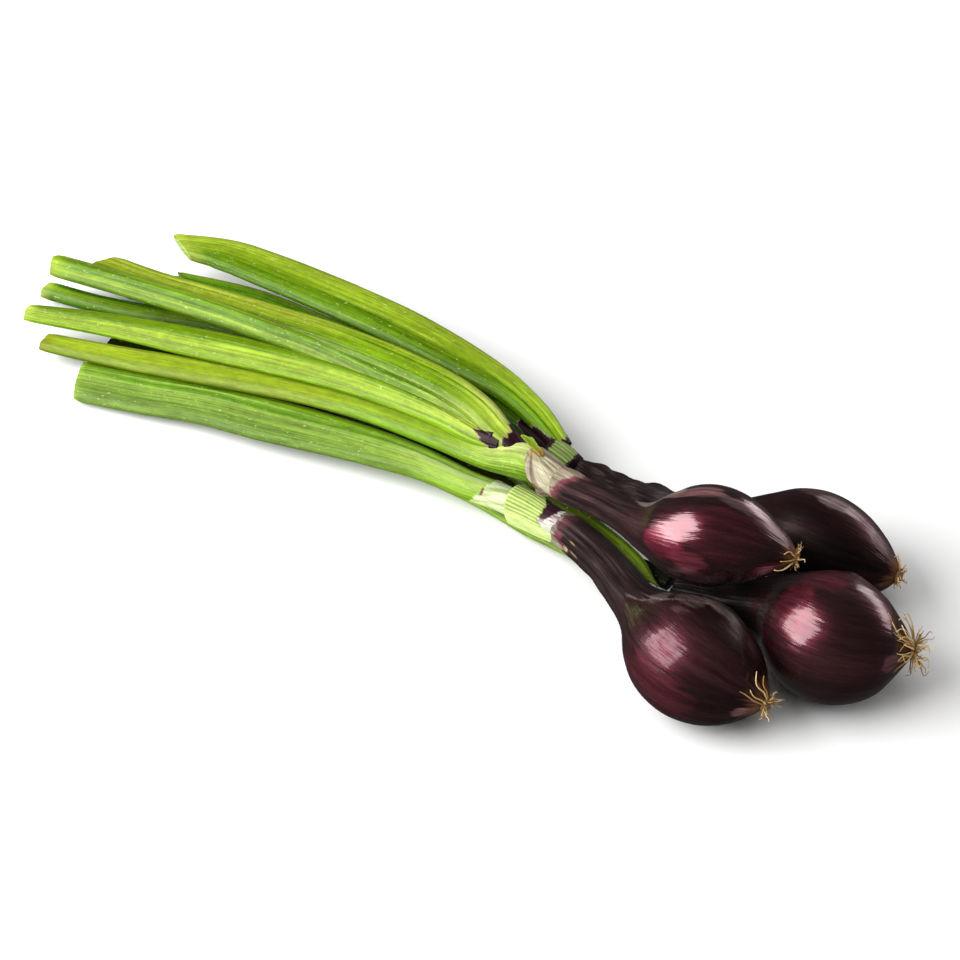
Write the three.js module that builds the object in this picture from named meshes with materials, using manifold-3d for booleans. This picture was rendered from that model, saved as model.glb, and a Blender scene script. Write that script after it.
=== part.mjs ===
// A bunch of four red spring onions, lying in a heap with their leaves together.
// Millimetres, +Z up. The bulbs are towards +X and the cut leaf ends towards -X. The origin
// is at table level under the middle of the bunch.

import * as THREE from "three";
import { mergeVertices } from "three/addons/utils/BufferGeometryUtils.js";
import Module from "manifold-3d";

const wasm = await Module();
wasm.setup();

// ---------------------------------------------------------------------------------------
// Driving dimensions
// ---------------------------------------------------------------------------------------

const BUNCH_CENTRE = [-0.6, 1.4]; // where the middle of the bunch lies in the routes' plan
const GAP = 0.3; // clear space between pieces that touch
const SLIVER = 0.02; // edges shorter than this are closed up

const BULB_SIDES = 22;
const BULB_RINGS_PER_SPAN = 2; // rings between one profile point and the next
const NECK_RIDGES = 6; // ridges of the skin round a neck
const NECK_RIDGE_DEPTH = 0.05; // part of the radius
const NECK_END_TEETH = 0.8; // how far the torn end of the skin runs in and out

const LEAF_SIDES = 12;
const LEAF_RINGS = 14;
const LEAF_WALL = 1.0; // thickness of a hollow leaf's wall
const HOLLOW_SIDES = 8;
const HOLLOW_RINGS = 6;
const HOLLOW_FROM = 0.32; // part of the leaf's length that is solid at its base
const HOLLOW_OVERRUN = 1.5; // the hollow's cutter runs this far past the cut end

const SHEATH_SIDES = 16;
const SHEATH_RINGS = 6;

const ROOT_SIDES = 3;
const ROOT_RINGS = 3;
const ROOT_RADIUS = 0.62;
const ROOT_TIP_RADIUS = 0.42;
const ROOT_PLATE_RADIUS = 2.6;
const ROOT_PLATE_DEPTH = 1.9;
const PLATE_SIDES = 9;
const STRAND_DEPTH = 1.0; // how far ahead of the bulb's end the strands leave the plate
const STRAND_OUT = 1.8; // and how far from its middle
const BACK_STEPS = 4; // steps of a strand that lies back over the skin
const BACK_LEAN_START = 90; // degrees from the onion's own line where it leaves the plate
const BACK_LEAN_RISE = 45; // and how much further it has turned at its tip

const COLOURS = {
  skin: { color: 0x3a0f1c, roughness: 0.3 },
  sheath: { color: 0xc9cf9a, roughness: 0.55 },
  paleLeaf: { color: 0xa5bc3c, roughness: 0.55 },
  leaf: { color: 0x7fae26, roughness: 0.5 },
  deepLeaf: { color: 0x4f8a2a, roughness: 0.55 },
  root: { color: 0xb58a4a, roughness: 0.85 },
};

// The four onions. A spine runs from the middle of the root end, through the bulb, to the end
// of the dark skin on the neck. A profile holds [distance along the spine, radius].
const ONIONS = {
  front: {
    spine: [
      [121, -41, 15.2],
      [97, -37, 17.3],
      [77, -27, 16.8],
      [59, -14.5, 15.2],
      [46.5, -7.5, 13.2],
      [40, -5, 12.4],
    ],
    profile: [
      [0, 2.4],
      [2, 5.5],
      [6, 10.2],
      [12, 14.4],
      [18, 16.8],
      [24, 17.8],
      [31, 16.9],
      [38, 13.6],
      [44, 9.6],
      [50, 7.2],
      [58, 6.1],
      [70, 5.7],
      [81, 5.5],
      [89, 5.5],
    ],
    neckFrom: 46,
    wrinkle: 0.02,
    roots: { strands: 7, length: 4, spread: 85, seed: 11, laidBack: [[165, 12], [60, 8], [110, 4.5]] },
  },
  top: {
    spine: [
      [113.5, -7, 39],
      [93.5, -11.5, 41.5],
      [81, -14.5, 40],
      [72.5, -14, 37.5],
      [63, -10.5, 34.5],
      [54.5, -7, 32],
      [44.5, -3.5, 29],
      [36.5, -0.5, 27],
    ],
    profile: [
      [0, 2.2],
      [2, 4.4],
      [6, 7.5],
      [12, 11.2],
      [18, 13.7],
      [24, 14.7],
      [30, 13.8],
      [36, 11.3],
      [41, 8.4],
      [46, 6.6],
      [53, 5.3],
      [62, 4.8],
      [72, 4.8],
      [81, 5.2],
    ],
    neckFrom: 43,
    wrinkle: 0.015,
    roots: { strands: 5, length: 3.5, spread: 90, seed: 23, laidBack: [[170, 5], [75, 4]] },
  },
  back: {
    spine: [
      [137, 20.5, 14.9],
      [114.5, 19.5, 16],
      [97, 21, 15.2],
      [79.5, 17.5, 14],
      [65, 15.5, 13.5],
      [52, 15, 13.5],
      [43, 16, 13.5],
      [33, 17.5, 13.5],
    ],
    profile: [
      [0, 2.4],
      [2, 5.1],
      [6, 9],
      [12, 13],
      [18, 15.4],
      [24, 16.4],
      [30, 16],
      [36, 13.9],
      [42, 10.2],
      [49, 7.4],
      [60, 6.2],
      [74, 5.7],
      [90, 4.9],
      [102, 4.5],
    ],
    neckFrom: 46,
    wrinkle: 0.09,
    roots: { strands: 6, length: 3.2, spread: 90, seed: 37, laidBack: [[90, 4.5]] },
  },
  right: {
    spine: [
      [151, -6, 17.2],
      [131, -13, 19.1],
      [111.5, -10, 17.2],
      [93, -10, 13],
      [77, -10, 9.8],
    ],
    profile: [
      [0, 3],
      [2, 5.8],
      [5, 9.6],
      [9, 14],
      [15, 17.6],
      [22, 19.4],
      [29, 18.2],
      [36, 14.6],
      [42, 11],
      [48, 8.6],
      [57, 7],
      [66, 6],
      [73, 5],
    ],
    neckFrom: 44,
    wrinkle: 0.02,
    roots: {
      strands: 11,
      length: 6.5,
      spread: 85,
      seed: 54,
      laidBack: [[96, 12], [124, 9], [150, 9], [176, 8], [68, 7]],
    },
  },
};

// Each route below runs from the bulb end outwards: x, y, z, half width, half thickness.
const SHEATHS = {
  front_onion_collar: {
    colour: "sheath",
    route: [
      [40.5, -5, 12.4, 5, 5],
      [34.5, -4, 11.8, 5.3, 5.3],
      [29, -2.5, 11.2, 5.7, 5.7],
      [23.5, -1.5, 10.8, 6, 6],
    ],
  },
  top_onion_papery_sheath: {
    colour: "sheath",
    route: [
      [38, -1, 27.2, 4.8, 4.8],
      [34, 0.5, 26.2, 5.3, 5.3],
      [31.5, 1.5, 25.5, 5.6, 5.6],
      [28.5, 2.5, 25.1, 5.9, 5.9],
    ],
  },
  back_onion_sheath: {
    colour: "deepLeaf",
    route: [
      [33.5, 17.5, 13.5, 4.5, 4.5],
      [29, 19, 13.8, 4.9, 4.8],
      [24, 20.5, 14, 5, 4.6],
    ],
  },
};

// Leaves, in the order in which they hold their place: a later one gives way to the earlier.
// A groove above 0 is a furrow along the upper face, and below 0 a ridge. A slant above 0
// cuts the leaf shorter on its front edge, as the tangent of the cut's angle.
const LEAVES = {
  front_onion_wide_leaf: {
    colour: "leaf",
    groove: 0.1,
    slant: 0.2,
    route: [
      [25.5, -2, 11, 4.2, 3.8],
      [17.5, -0.5, 10.5, 4.6, 3.9],
      [7, 0, 10, 5, 3.8],
      [-11.5, 2, 9.2, 6, 3.6],
      [-32, 1.5, 8.4, 7.4, 3.4],
      [-60.5, -1, 7.2, 8.8, 3.3],
      [-84.5, -3, 5.8, 8.9, 3.2],
      [-104, -6.5, 4.5, 8.8, 3.2],
      [-128, -10.5, 3.1, 8.5, 3.2],
    ],
  },
  front_onion_low_leaf: {
    colour: "leaf",
    groove: 0,
    slant: 0.3,
    route: [
      [47, -8.5, 7, 1.7, 1.4],
      [38.5, -5.5, 5.8, 2.8, 2],
      [28.5, -2.5, 4.6, 3.7, 2.3],
      [17, 1, 3.6, 3.9, 2.4],
      [5.5, 3.5, 2.8, 3.8, 2.4],
      [-9.5, 5, 2.4, 3.4, 2.2],
      [-25, 4.5, 2.3, 3.2, 2.1],
      [-40, 3, 2.3, 3, 2],
    ],
  },
  top_onion_pale_leaf: {
    colour: "paleLeaf",
    groove: 0.12,
    slant: -0.2,
    route: [
      [28, 3.5, 24.6, 5.2, 4.8],
      [24, 4, 24.4, 5.9, 5.3],
      [19, 4, 23.6, 5.9, 4.8],
      [12, 3.5, 22, 5, 3.8],
      [-7, 7, 18.5, 4.8, 3.2],
      [-29.5, 10, 15.5, 5, 2.8],
      [-57.5, 9.5, 13, 5.2, 2.6],
      [-91.5, 4.5, 10.5, 5, 2.5],
      [-118.5, 0, 8.6, 4.5, 2.4],
      [-145, -3.5, 7, 3.7, 2.3],
    ],
  },
  top_onion_back_leaf: {
    colour: "leaf",
    groove: 0.16,
    slant: -0.8,
    route: [
      [21, 6.5, 24.6, 3.2, 3],
      [13.5, 9, 26.5, 4.3, 3.4],
      [3, 14.5, 27.6, 5, 3.2],
      [-9.5, 19, 27, 5.5, 3.1],
      [-29.5, 23.5, 25, 5.8, 2.9],
      [-56.5, 27.5, 21.5, 5.8, 2.9],
      [-80, 29.5, 18, 5.6, 2.8],
      [-99, 30.5, 15.5, 5.4, 2.8],
      [-122, 31, 13, 5, 2.7],
      [-145, 32.5, 11.5, 4.7, 2.5],
    ],
  },
  top_onion_front_leaf: {
    colour: "leaf",
    groove: -0.14,
    slant: -0.2,
    route: [
      [14.5, 6, 25.3, 2.4, 2.6],
      [6.5, 6.5, 24.5, 2.9, 3],
      [-10, 11.5, 22.5, 4.2, 3.1],
      [-42, 15.5, 19, 5.4, 3.1],
      [-69.5, 15, 16.5, 6.4, 3.1],
      [-99.5, 12, 14, 6.3, 3],
      [-127, 8, 12.5, 5, 2.6],
      [-154, 1.5, 12, 3.4, 2.3],
    ],
  },
  top_onion_middle_leaf: {
    colour: "leaf",
    groove: -0.16,
    slant: 0.2,
    route: [
      [12, 6.5, 26, 2.4, 2.6],
      [3.5, 10.5, 25, 2.8, 2.8],
      [-14, 15, 23, 3.8, 3],
      [-34, 18.5, 21, 4, 3],
      [-57.5, 22, 19.8, 4.2, 3],
      [-75.5, 22, 19.8, 4.2, 3],
      [-94, 22.5, 19.2, 4.4, 3],
      [-124, 22, 18, 4.6, 3],
      [-156, 20.5, 16.5, 4.6, 3],
    ],
  },
  right_onion_upper_leaf: {
    colour: "deepLeaf",
    groove: 0.08,
    slant: -0.2,
    route: [
      [75, -11.5, 10.5, 2.2, 2],
      [67.5, -7.5, 10.8, 2.7, 2.2],
      [59, -3.5, 11, 3, 2.4],
      [47.5, 0.5, 11, 3.2, 2.4],
      [34.5, 4, 11, 3.3, 2.5],
      [19, 10, 10.8, 3.3, 2.5],
      [1, 18.5, 9.8, 3.3, 2.5],
      [-32.5, 28, 7, 3.3, 2.5],
      [-63, 31, 5, 3.3, 2.5],
      [-89, 31, 4.5, 3.3, 2.5],
      [-106.5, 29, 4.5, 3.6, 2.6],
      [-123, 24.5, 4.8, 3.6, 2.6],
      [-140, 21, 5, 3.3, 2.6],
      [-159.5, 19, 5, 3.5, 2.5],
    ],
  },
  right_onion_lower_leaf: {
    colour: "deepLeaf",
    groove: 0,
    slant: 0,
    route: [
      [76.5, -4.5, 6.3, 3.4, 2.2],
      [71, -3.5, 6, 3.7, 2.2],
      [65, -3, 5.6, 3, 2.2],
      [49.5, 3, 5.2, 3, 2.2],
      [29.5, 10, 4.4, 3.8, 2.2],
      [11, 12, 4, 4.2, 2.2],
      [-8.5, 13, 3.6, 4, 2.2],
      [-33, 16, 3, 3.6, 2.2],
      [-62, 15.5, 2.6, 3.4, 2.2],
      [-94, 14, 2.5, 3.4, 2.2],
      [-128.5, 7.5, 2.5, 3.8, 2.2],
    ],
  },
  back_onion_low_leaf: {
    colour: "paleLeaf",
    groove: 0.1,
    slant: -0.7,
    route: [
      [24.5, 24.5, 10, 2.6, 2.2],
      [7.5, 26.5, 8, 4, 2.3],
      [-21, 33.5, 6, 5.5, 2.3],
      [-58, 42, 4.5, 6.3, 2.3],
      [-88.5, 43, 3.2, 6.5, 2.3],
      [-115, 42.5, 2.5, 6.5, 2.3],
      [-134.5, 37, 2.1, 6, 2.2],
    ],
  },
  back_onion_middle_leaf: {
    colour: "deepLeaf",
    groove: 0.1,
    slant: 0.9,
    route: [
      [26.5, 22.5, 13, 2.6, 2.4],
      [10.5, 29, 11.5, 4.2, 2.5],
      [-9.5, 35.5, 10.5, 4.6, 2.5],
      [-38, 39, 9.8, 4.6, 2.4],
      [-69, 41.5, 9, 4.6, 2.3],
      [-95.5, 43, 8.3, 4.4, 2.2],
      [-120, 40, 7.8, 3.8, 2.1],
    ],
  },
  back_onion_wide_leaf: {
    colour: "leaf",
    groove: 0.2,
    slant: 1.1,
    route: [
      [27.5, 22.5, 14.8, 3.1, 2.6],
      [23.5, 24.5, 16.5, 3.6, 3],
      [15, 29.5, 17.5, 4.6, 3.2],
      [1.5, 35.5, 18, 5.6, 3.2],
      [-18.5, 40.5, 18, 7.1, 3.1],
      [-40.5, 44.5, 18, 7.8, 3],
      [-64.5, 47.5, 17.5, 8, 3],
      [-91.5, 49.5, 17, 7.8, 3],
      [-108, 50.5, 16, 7.2, 2.9],
      [-124, 48, 15, 5.2, 2.7],
    ],
  },
};

// ---------------------------------------------------------------------------------------
// Solids
// ---------------------------------------------------------------------------------------

function solidFrom(geometry) {
  const bare = geometry.clone();
  bare.deleteAttribute("normal");
  bare.deleteAttribute("uv");
  const merged = mergeVertices(bare, 1e-4);
  const mesh = new wasm.Mesh({
    numProp: 3,
    vertProperties: new Float32Array(merged.attributes.position.array),
    triVerts: new Uint32Array(merged.index.array),
  });
  return new wasm.Manifold(mesh);
}

function geometryFrom(solid) {
  const { vertProperties, triVerts } = solid.getMesh();
  const geometry = new THREE.BufferGeometry();
  geometry.setAttribute("position", new THREE.BufferAttribute(new Float32Array(vertProperties), 3));
  geometry.setIndex(new THREE.BufferAttribute(new Uint32Array(triVerts), 1));
  geometry.computeVertexNormals();
  return geometry;
}

// The largest body of a solid that a cut has left in several.
function largestBody(solid) {
  const bodies = solid.decompose();
  return bodies.reduce((best, body) => (body.volume() > best.volume() ? body : best));
}

// A solid with its neighbours cut away and the slivers that a cut leaves on its edges removed.
function clearOf(solid, neighbours) {
  const left = neighbours.reduce((rest, neighbour) => rest.subtract(neighbour), solid);
  return largestBody(left).simplify(SLIVER);
}

// ---------------------------------------------------------------------------------------
// Tubes along a curve
// ---------------------------------------------------------------------------------------

const UP = new THREE.Vector3(0, 0, 1);
const ALONG = new THREE.Vector3(1, 0, 0);
const STEEP = 0.9; // a tangent steeper than this takes its side direction from X

// Two directions across a curve: side is level, and rise points up from the curve.
function crossAxes(tangent) {
  const reference = Math.abs(tangent.z) > STEEP ? ALONG : UP;
  const side = new THREE.Vector3().crossVectors(reference, tangent).normalize();
  const rise = new THREE.Vector3().crossVectors(tangent, side);
  return { side, rise };
}

// A closed tube. Each ring is { centre, tangent, point(angle) }, where point gives the offsets
// [side, rise, forward] of a vertex from the ring's centre.
function tube(rings, sides) {
  const positions = [];
  const faces = [];
  for (const { centre, tangent, point } of rings) {
    const { side, rise } = crossAxes(tangent);
    for (let j = 0; j < sides; j++) {
      const [across, above, forward] = point((2 * Math.PI * j) / sides);
      const vertex = centre
        .clone()
        .addScaledVector(side, across)
        .addScaledVector(rise, above)
        .addScaledVector(tangent, forward);
      positions.push(vertex.x, vertex.y, vertex.z);
    }
  }
  for (let i = 0; i + 1 < rings.length; i++) {
    for (let j = 0; j < sides; j++) {
      const here = i * sides + j;
      const next = i * sides + ((j + 1) % sides);
      faces.push(here, next, here + sides, next, next + sides, here + sides);
    }
  }
  const last = (rings.length - 1) * sides;
  const startCentre = rings.length * sides;
  const endCentre = startCentre + 1;
  positions.push(...ringMiddle(positions, 0, sides), ...ringMiddle(positions, last, sides));
  for (let j = 0; j < sides; j++) {
    const next = (j + 1) % sides;
    faces.push(startCentre, next, j, endCentre, last + j, last + next);
  }
  const geometry = new THREE.BufferGeometry();
  geometry.setAttribute("position", new THREE.Float32BufferAttribute(positions, 3));
  geometry.setIndex(faces);
  return solidFrom(geometry);
}

function ringMiddle(positions, first, sides) {
  const middle = [0, 0, 0];
  for (let j = first; j < first + sides; j++) {
    middle.forEach((_, axis) => {
      middle[axis] += positions[3 * j + axis] / sides;
    });
  }
  return middle;
}

function curveThrough(points) {
  return new THREE.CatmullRomCurve3(points.map(([x, y, z]) => new THREE.Vector3(x, y, z)));
}

// The half width and half thickness of a route, as a curve that keeps step with its path.
function girthThrough(points) {
  const sizes = points.map(([, , , width, thickness]) => new THREE.Vector3(width, thickness, 0));
  return new THREE.CatmullRomCurve3(sizes, false, "catmullrom", 0.5);
}

// ---------------------------------------------------------------------------------------
// Bulbs with their necks
// ---------------------------------------------------------------------------------------

// A smooth radius between the profile's points, by cubic Hermite spans.
function profileRadius(profile, distance) {
  const last = profile.length - 1;
  let k = 0;
  while (k < last - 1 && distance > profile[k + 1][0]) {
    k += 1;
  }
  const slope = (i) => {
    const before = profile[Math.max(i - 1, 0)];
    const after = profile[Math.min(i + 1, last)];
    return (after[1] - before[1]) / (after[0] - before[0]);
  };
  const [from, startRadius] = profile[k];
  const [to, endRadius] = profile[k + 1];
  const span = to - from;
  const t = (distance - from) / span;
  return (
    (2 * t ** 3 - 3 * t ** 2 + 1) * startRadius +
    (t ** 3 - 2 * t ** 2 + t) * span * slope(k) +
    (3 * t ** 2 - 2 * t ** 3) * endRadius +
    (t ** 3 - t ** 2) * span * slope(k + 1)
  );
}

// How much the dry skin stands in or out at a place on the neck, as part of its radius.
function neckRelief(onion, distance, angle) {
  const fade = THREE.MathUtils.smoothstep(distance, onion.neckFrom, onion.neckFrom + 14);
  const ridges = NECK_RIDGE_DEPTH * Math.cos(NECK_RIDGES * angle + 0.03 * distance);
  const folds = Math.sin(0.36 * distance + 2 * angle) + 0.7 * Math.sin(0.61 * distance - 3 * angle);
  return 1 + fade * (ridges + onion.wrinkle * folds);
}

function bulb(onion, grow = 0) {
  const path = curveThrough(onion.spine);
  const length = path.getLength();
  const { profile } = onion;
  const distances = [];
  for (let k = 0; k + 1 < profile.length; k++) {
    for (let step = 0; step < BULB_RINGS_PER_SPAN; step++) {
      const share = step / BULB_RINGS_PER_SPAN;
      distances.push(profile[k][0] * (1 - share) + profile[k + 1][0] * share);
    }
  }
  const skinEnd = profile[profile.length - 1][0];
  distances.push(skinEnd);
  const rings = distances.map((distance) => {
    const u = Math.min(distance / length, 1);
    const isStart = distance === 0;
    const isEnd = distance === skinEnd;
    return {
      centre: path.getPointAt(u),
      tangent: path.getTangentAt(u),
      point: (angle) => {
        const radius = profileRadius(profile, distance) * neckRelief(onion, distance, angle) + grow;
        const teeth = isEnd ? NECK_END_TEETH * Math.sin(3 * angle + 1) + grow : 0;
        const forward = isStart ? -grow : teeth;
        return [radius * Math.cos(angle), radius * Math.sin(angle), forward];
      },
    };
  });
  return tube(rings, BULB_SIDES);
}

// ---------------------------------------------------------------------------------------
// Leaves and sheaths
// ---------------------------------------------------------------------------------------

// A leaf's section: an ellipse whose upper face has a furrow or a ridge along its middle.
function leafOffsets(width, thickness, groove, angle) {
  const across = Math.cos(angle);
  const above = Math.sin(angle);
  const crease = above > 0 ? 1 - groove * (1 - across * across) ** 4 : 1;
  return [width * across, thickness * above * crease];
}

function alongRoute({ route, groove = 0, slant = 0 }, { from, to, count, sides, grow, past }) {
  const path = curveThrough(route);
  const girth = girthThrough(route);
  const rings = [];
  for (let i = 0; i <= count; i++) {
    const u = from + ((to - from) * i) / count;
    const size = girth.getPoint(path.getUtoTmapping(u));
    const atStart = i === 0;
    const atEnd = i === count;
    rings.push({
      centre: path.getPointAt(u),
      tangent: path.getTangentAt(u),
      point: (angle) => {
        const [across, above] = leafOffsets(size.x + grow, size.y + grow, groove, angle);
        const shear = atEnd ? past - slant * across : 0;
        return [across, above, atStart ? Math.min(-grow, 0) : shear];
      },
    });
  }
  return tube(rings, sides);
}

function leafOutside(leaf, grow = 0) {
  const whole = { from: 0, to: 1, count: LEAF_RINGS, sides: LEAF_SIDES, grow, past: grow };
  return alongRoute(leaf, whole);
}

function leafHollow(leaf) {
  const hollow = {
    from: HOLLOW_FROM,
    to: 1,
    count: HOLLOW_RINGS,
    sides: HOLLOW_SIDES,
    grow: -LEAF_WALL,
    past: HOLLOW_OVERRUN,
  };
  return alongRoute(leaf, hollow);
}

function sheath(piece, grow = 0) {
  const whole = { from: 0, to: 1, count: SHEATH_RINGS, sides: SHEATH_SIDES, grow, past: grow };
  return alongRoute(piece, whole);
}

// ---------------------------------------------------------------------------------------
// Roots
// ---------------------------------------------------------------------------------------

// A plain repeatable run of numbers from 0 to 1.
function seededRandom(seed) {
  let state = seed;
  return () => {
    state = (state * 1103515245 + 12345) % 2147483648;
    return state / 2147483648;
  };
}

function straightTube(points, radii, sides) {
  const path = curveThrough(points);
  const count = points.length > 2 ? ROOT_RINGS : 1;
  const rings = [];
  for (let i = 0; i <= count; i++) {
    const u = i / count;
    const radius = radii[0] * (1 - u) + radii[1] * u;
    rings.push({
      centre: path.getPointAt(u),
      tangent: path.getTangentAt(u),
      point: (angle) => [radius * Math.cos(angle), radius * Math.sin(angle), 0],
    });
  }
  return tube(rings, sides);
}

// A tuft: a small plate against the bulb's root end, with strands that fan out of it, and a
// few, given as [angle round the bulb, length], that lie back over its skin.
function rootTuft(onion) {
  const { strands, length, spread, seed, laidBack } = onion.roots;
  const random = seededRandom(seed);
  const path = curveThrough(onion.spine);
  const base = path.getPointAt(0);
  const outward = path.getTangentAt(0).negate();
  const { side, rise } = crossAxes(outward);
  const place = (forward, out, around, sway = 0) => {
    const across = out * Math.cos(around) - sway * Math.sin(around);
    const above = out * Math.sin(around) + sway * Math.cos(around);
    const point = base.clone().addScaledVector(outward, forward);
    return point.addScaledVector(side, across).addScaledVector(rise, above).toArray();
  };
  const plateEnds = [place(0, 0, 0), place(ROOT_PLATE_DEPTH, 0, 0)];
  let tuft = straightTube(plateEnds, [ROOT_PLATE_RADIUS, ROOT_PLATE_RADIUS * 0.8], PLATE_SIDES);
  for (let k = 0; k < strands; k++) {
    const around = (2 * Math.PI * (k + 0.6 * random())) / strands;
    const lean = THREE.MathUtils.degToRad(spread * (0.3 + 0.7 * random()));
    const reach = length * (0.55 + 0.45 * random());
    const curl = reach * (random() - 0.5) * 0.7;
    const point = (travel, sway) =>
      place(STRAND_DEPTH + travel * Math.cos(lean), STRAND_OUT + travel * Math.sin(lean), around, sway);
    const points = [point(0, 0), point(reach * 0.4, curl * 0.3), point(reach * 0.75, curl), point(reach, 0)];
    tuft = tuft.add(straightTube(points, [ROOT_RADIUS, ROOT_TIP_RADIUS], ROOT_SIDES));
  }
  for (const [degrees, reach] of laidBack) {
    const around = THREE.MathUtils.degToRad(degrees);
    const points = [place(STRAND_DEPTH, STRAND_OUT, around)];
    let forward = STRAND_DEPTH;
    let out = STRAND_OUT;
    for (let step = 1; step <= BACK_STEPS; step++) {
      const lean = THREE.MathUtils.degToRad(BACK_LEAN_START + (BACK_LEAN_RISE * step) / BACK_STEPS);
      forward += (reach / BACK_STEPS) * Math.cos(lean);
      out += (reach / BACK_STEPS) * Math.sin(lean);
      points.push(place(forward, out, around, (random() - 0.5) * 0.16 * reach));
    }
    tuft = tuft.add(straightTube(points, [ROOT_RADIUS, ROOT_TIP_RADIUS], ROOT_SIDES));
  }
  return tuft;
}

// ---------------------------------------------------------------------------------------
// The bunch
// ---------------------------------------------------------------------------------------

const group = new THREE.Group();
group.position.set(-BUNCH_CENTRE[0], -BUNCH_CENTRE[1], 0);

function addPiece(name, solid, colour) {
  const material = new THREE.MeshStandardMaterial({ ...COLOURS[colour], metalness: 0 });
  const mesh = new THREE.Mesh(geometryFrom(solid), material);
  mesh.name = name;
  group.add(mesh);
}

// Everything under the table top, which flattens the undersides that rest on it.
function underTable() {
  const depth = 30;
  const slab = new THREE.BoxGeometry(600, 600, depth);
  slab.translate(0, 0, -depth / 2);
  return solidFrom(slab);
}

const table = underTable();
const placed = []; // every placed piece, grown by the gap, for later pieces to keep clear of

for (const [name, onion] of Object.entries(ONIONS)) {
  addPiece(`${name}_onion_bulb`, clearOf(bulb(onion), [table]), "skin");
  placed.push(bulb(onion, GAP));
}

for (const [name, piece] of Object.entries(SHEATHS)) {
  addPiece(name, clearOf(sheath(piece), [table, ...placed]), piece.colour);
  placed.push(sheath(piece, GAP));
}

for (const [name, leaf] of Object.entries(LEAVES)) {
  const blade = leafOutside(leaf).subtract(leafHollow(leaf));
  addPiece(name, clearOf(blade, [table, ...placed]), leaf.colour);
  placed.push(leafOutside(leaf, GAP));
}

for (const [name, onion] of Object.entries(ONIONS)) {
  addPiece(`${name}_onion_roots`, clearOf(rootTuft(onion), [table, ...placed]), "root");
}

export default group;
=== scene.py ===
"""Looks for a bunch of four red spring onions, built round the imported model.

Every piece is swept along the same route as the solid it replaces, with more rings and sides,
fine relief, torn edges and hollow cut ends. Lengths are in millimetres until a mesh is made.
"""

import math

import bpy
import numpy as np
from mathutils import Matrix


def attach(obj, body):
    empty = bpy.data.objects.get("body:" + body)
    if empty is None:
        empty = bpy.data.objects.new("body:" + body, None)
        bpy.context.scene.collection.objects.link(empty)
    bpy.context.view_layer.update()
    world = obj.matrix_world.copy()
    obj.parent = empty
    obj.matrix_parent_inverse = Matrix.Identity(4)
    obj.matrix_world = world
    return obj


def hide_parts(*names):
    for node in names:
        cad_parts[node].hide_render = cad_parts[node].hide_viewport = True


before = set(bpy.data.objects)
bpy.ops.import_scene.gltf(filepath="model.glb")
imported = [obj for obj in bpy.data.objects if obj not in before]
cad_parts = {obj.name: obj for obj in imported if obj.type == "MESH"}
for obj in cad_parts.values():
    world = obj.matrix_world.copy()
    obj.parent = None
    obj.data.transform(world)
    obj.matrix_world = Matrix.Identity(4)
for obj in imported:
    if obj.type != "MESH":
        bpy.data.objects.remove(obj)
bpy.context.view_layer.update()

MM = 0.001
BUNCH_CENTRE = np.array([-0.6, 1.4, 0.0])
TURN = 2 * math.pi

# ---- Routes, as in the part's source ----

# A spine runs from the root end, through the bulb, to the end of the dark skin on the neck. A
# profile is (distance along the spine, radius), and the neck begins at the distance "neckFrom".
ONIONS = {
    "front": {
        "spine": [
            (121, -41, 15.2), (97, -37, 17.3), (77, -27, 16.8), (59, -14.5, 15.2), (46.5, -7.5, 13.2),
            (40, -5, 12.4),
        ],
        "profile": [
            (0, 2.4), (2, 5.5), (6, 10.2), (12, 14.4), (18, 16.8), (24, 17.8), (31, 16.9), (38, 13.6),
            (44, 9.6), (50, 7.2), (58, 6.1), (70, 5.7), (81, 5.5), (89, 5.5),
        ],
        "neckFrom": 46,
        "wrinkle": 0.02,
    },
    "top": {
        "spine": [
            (113.5, -7, 39), (93.5, -11.5, 41.5), (81, -14.5, 40), (72.5, -14, 37.5), (63, -10.5, 34.5),
            (54.5, -7, 32), (44.5, -3.5, 29), (36.5, -0.5, 27),
        ],
        "profile": [
            (0, 2.2), (2, 4.4), (6, 7.5), (12, 11.2), (18, 13.7), (24, 14.7), (30, 13.8), (36, 11.3),
            (41, 8.4), (46, 6.6), (53, 5.3), (62, 4.8), (72, 4.8), (81, 5.2),
        ],
        "neckFrom": 43,
        "wrinkle": 0.015,
    },
    "back": {
        "spine": [
            (137, 20.5, 14.9), (114.5, 19.5, 16), (97, 21, 15.2), (79.5, 17.5, 14), (65, 15.5, 13.5),
            (52, 15, 13.5), (43, 16, 13.5), (33, 17.5, 13.5),
        ],
        "profile": [
            (0, 2.4), (2, 5.1), (6, 9), (12, 13), (18, 15.4), (24, 16.4), (30, 16), (36, 13.9),
            (42, 10.2), (49, 7.4), (60, 6.2), (74, 5.7), (90, 4.9), (102, 4.5),
        ],
        "neckFrom": 46,
        "wrinkle": 0.09,
    },
    "right": {
        "spine": [
            (151, -6, 17.2), (131, -13, 19.1), (111.5, -10, 17.2), (93, -10, 13), (77, -10, 9.8),
        ],
        "profile": [
            (0, 3), (2, 5.8), (5, 9.6), (9, 14), (15, 17.6), (22, 19.4), (29, 18.2), (36, 14.6), (42, 11),
            (48, 8.6), (57, 7), (66, 6), (73, 5),
        ],
        "neckFrom": 44,
        "wrinkle": 0.02,
    },
}

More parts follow.
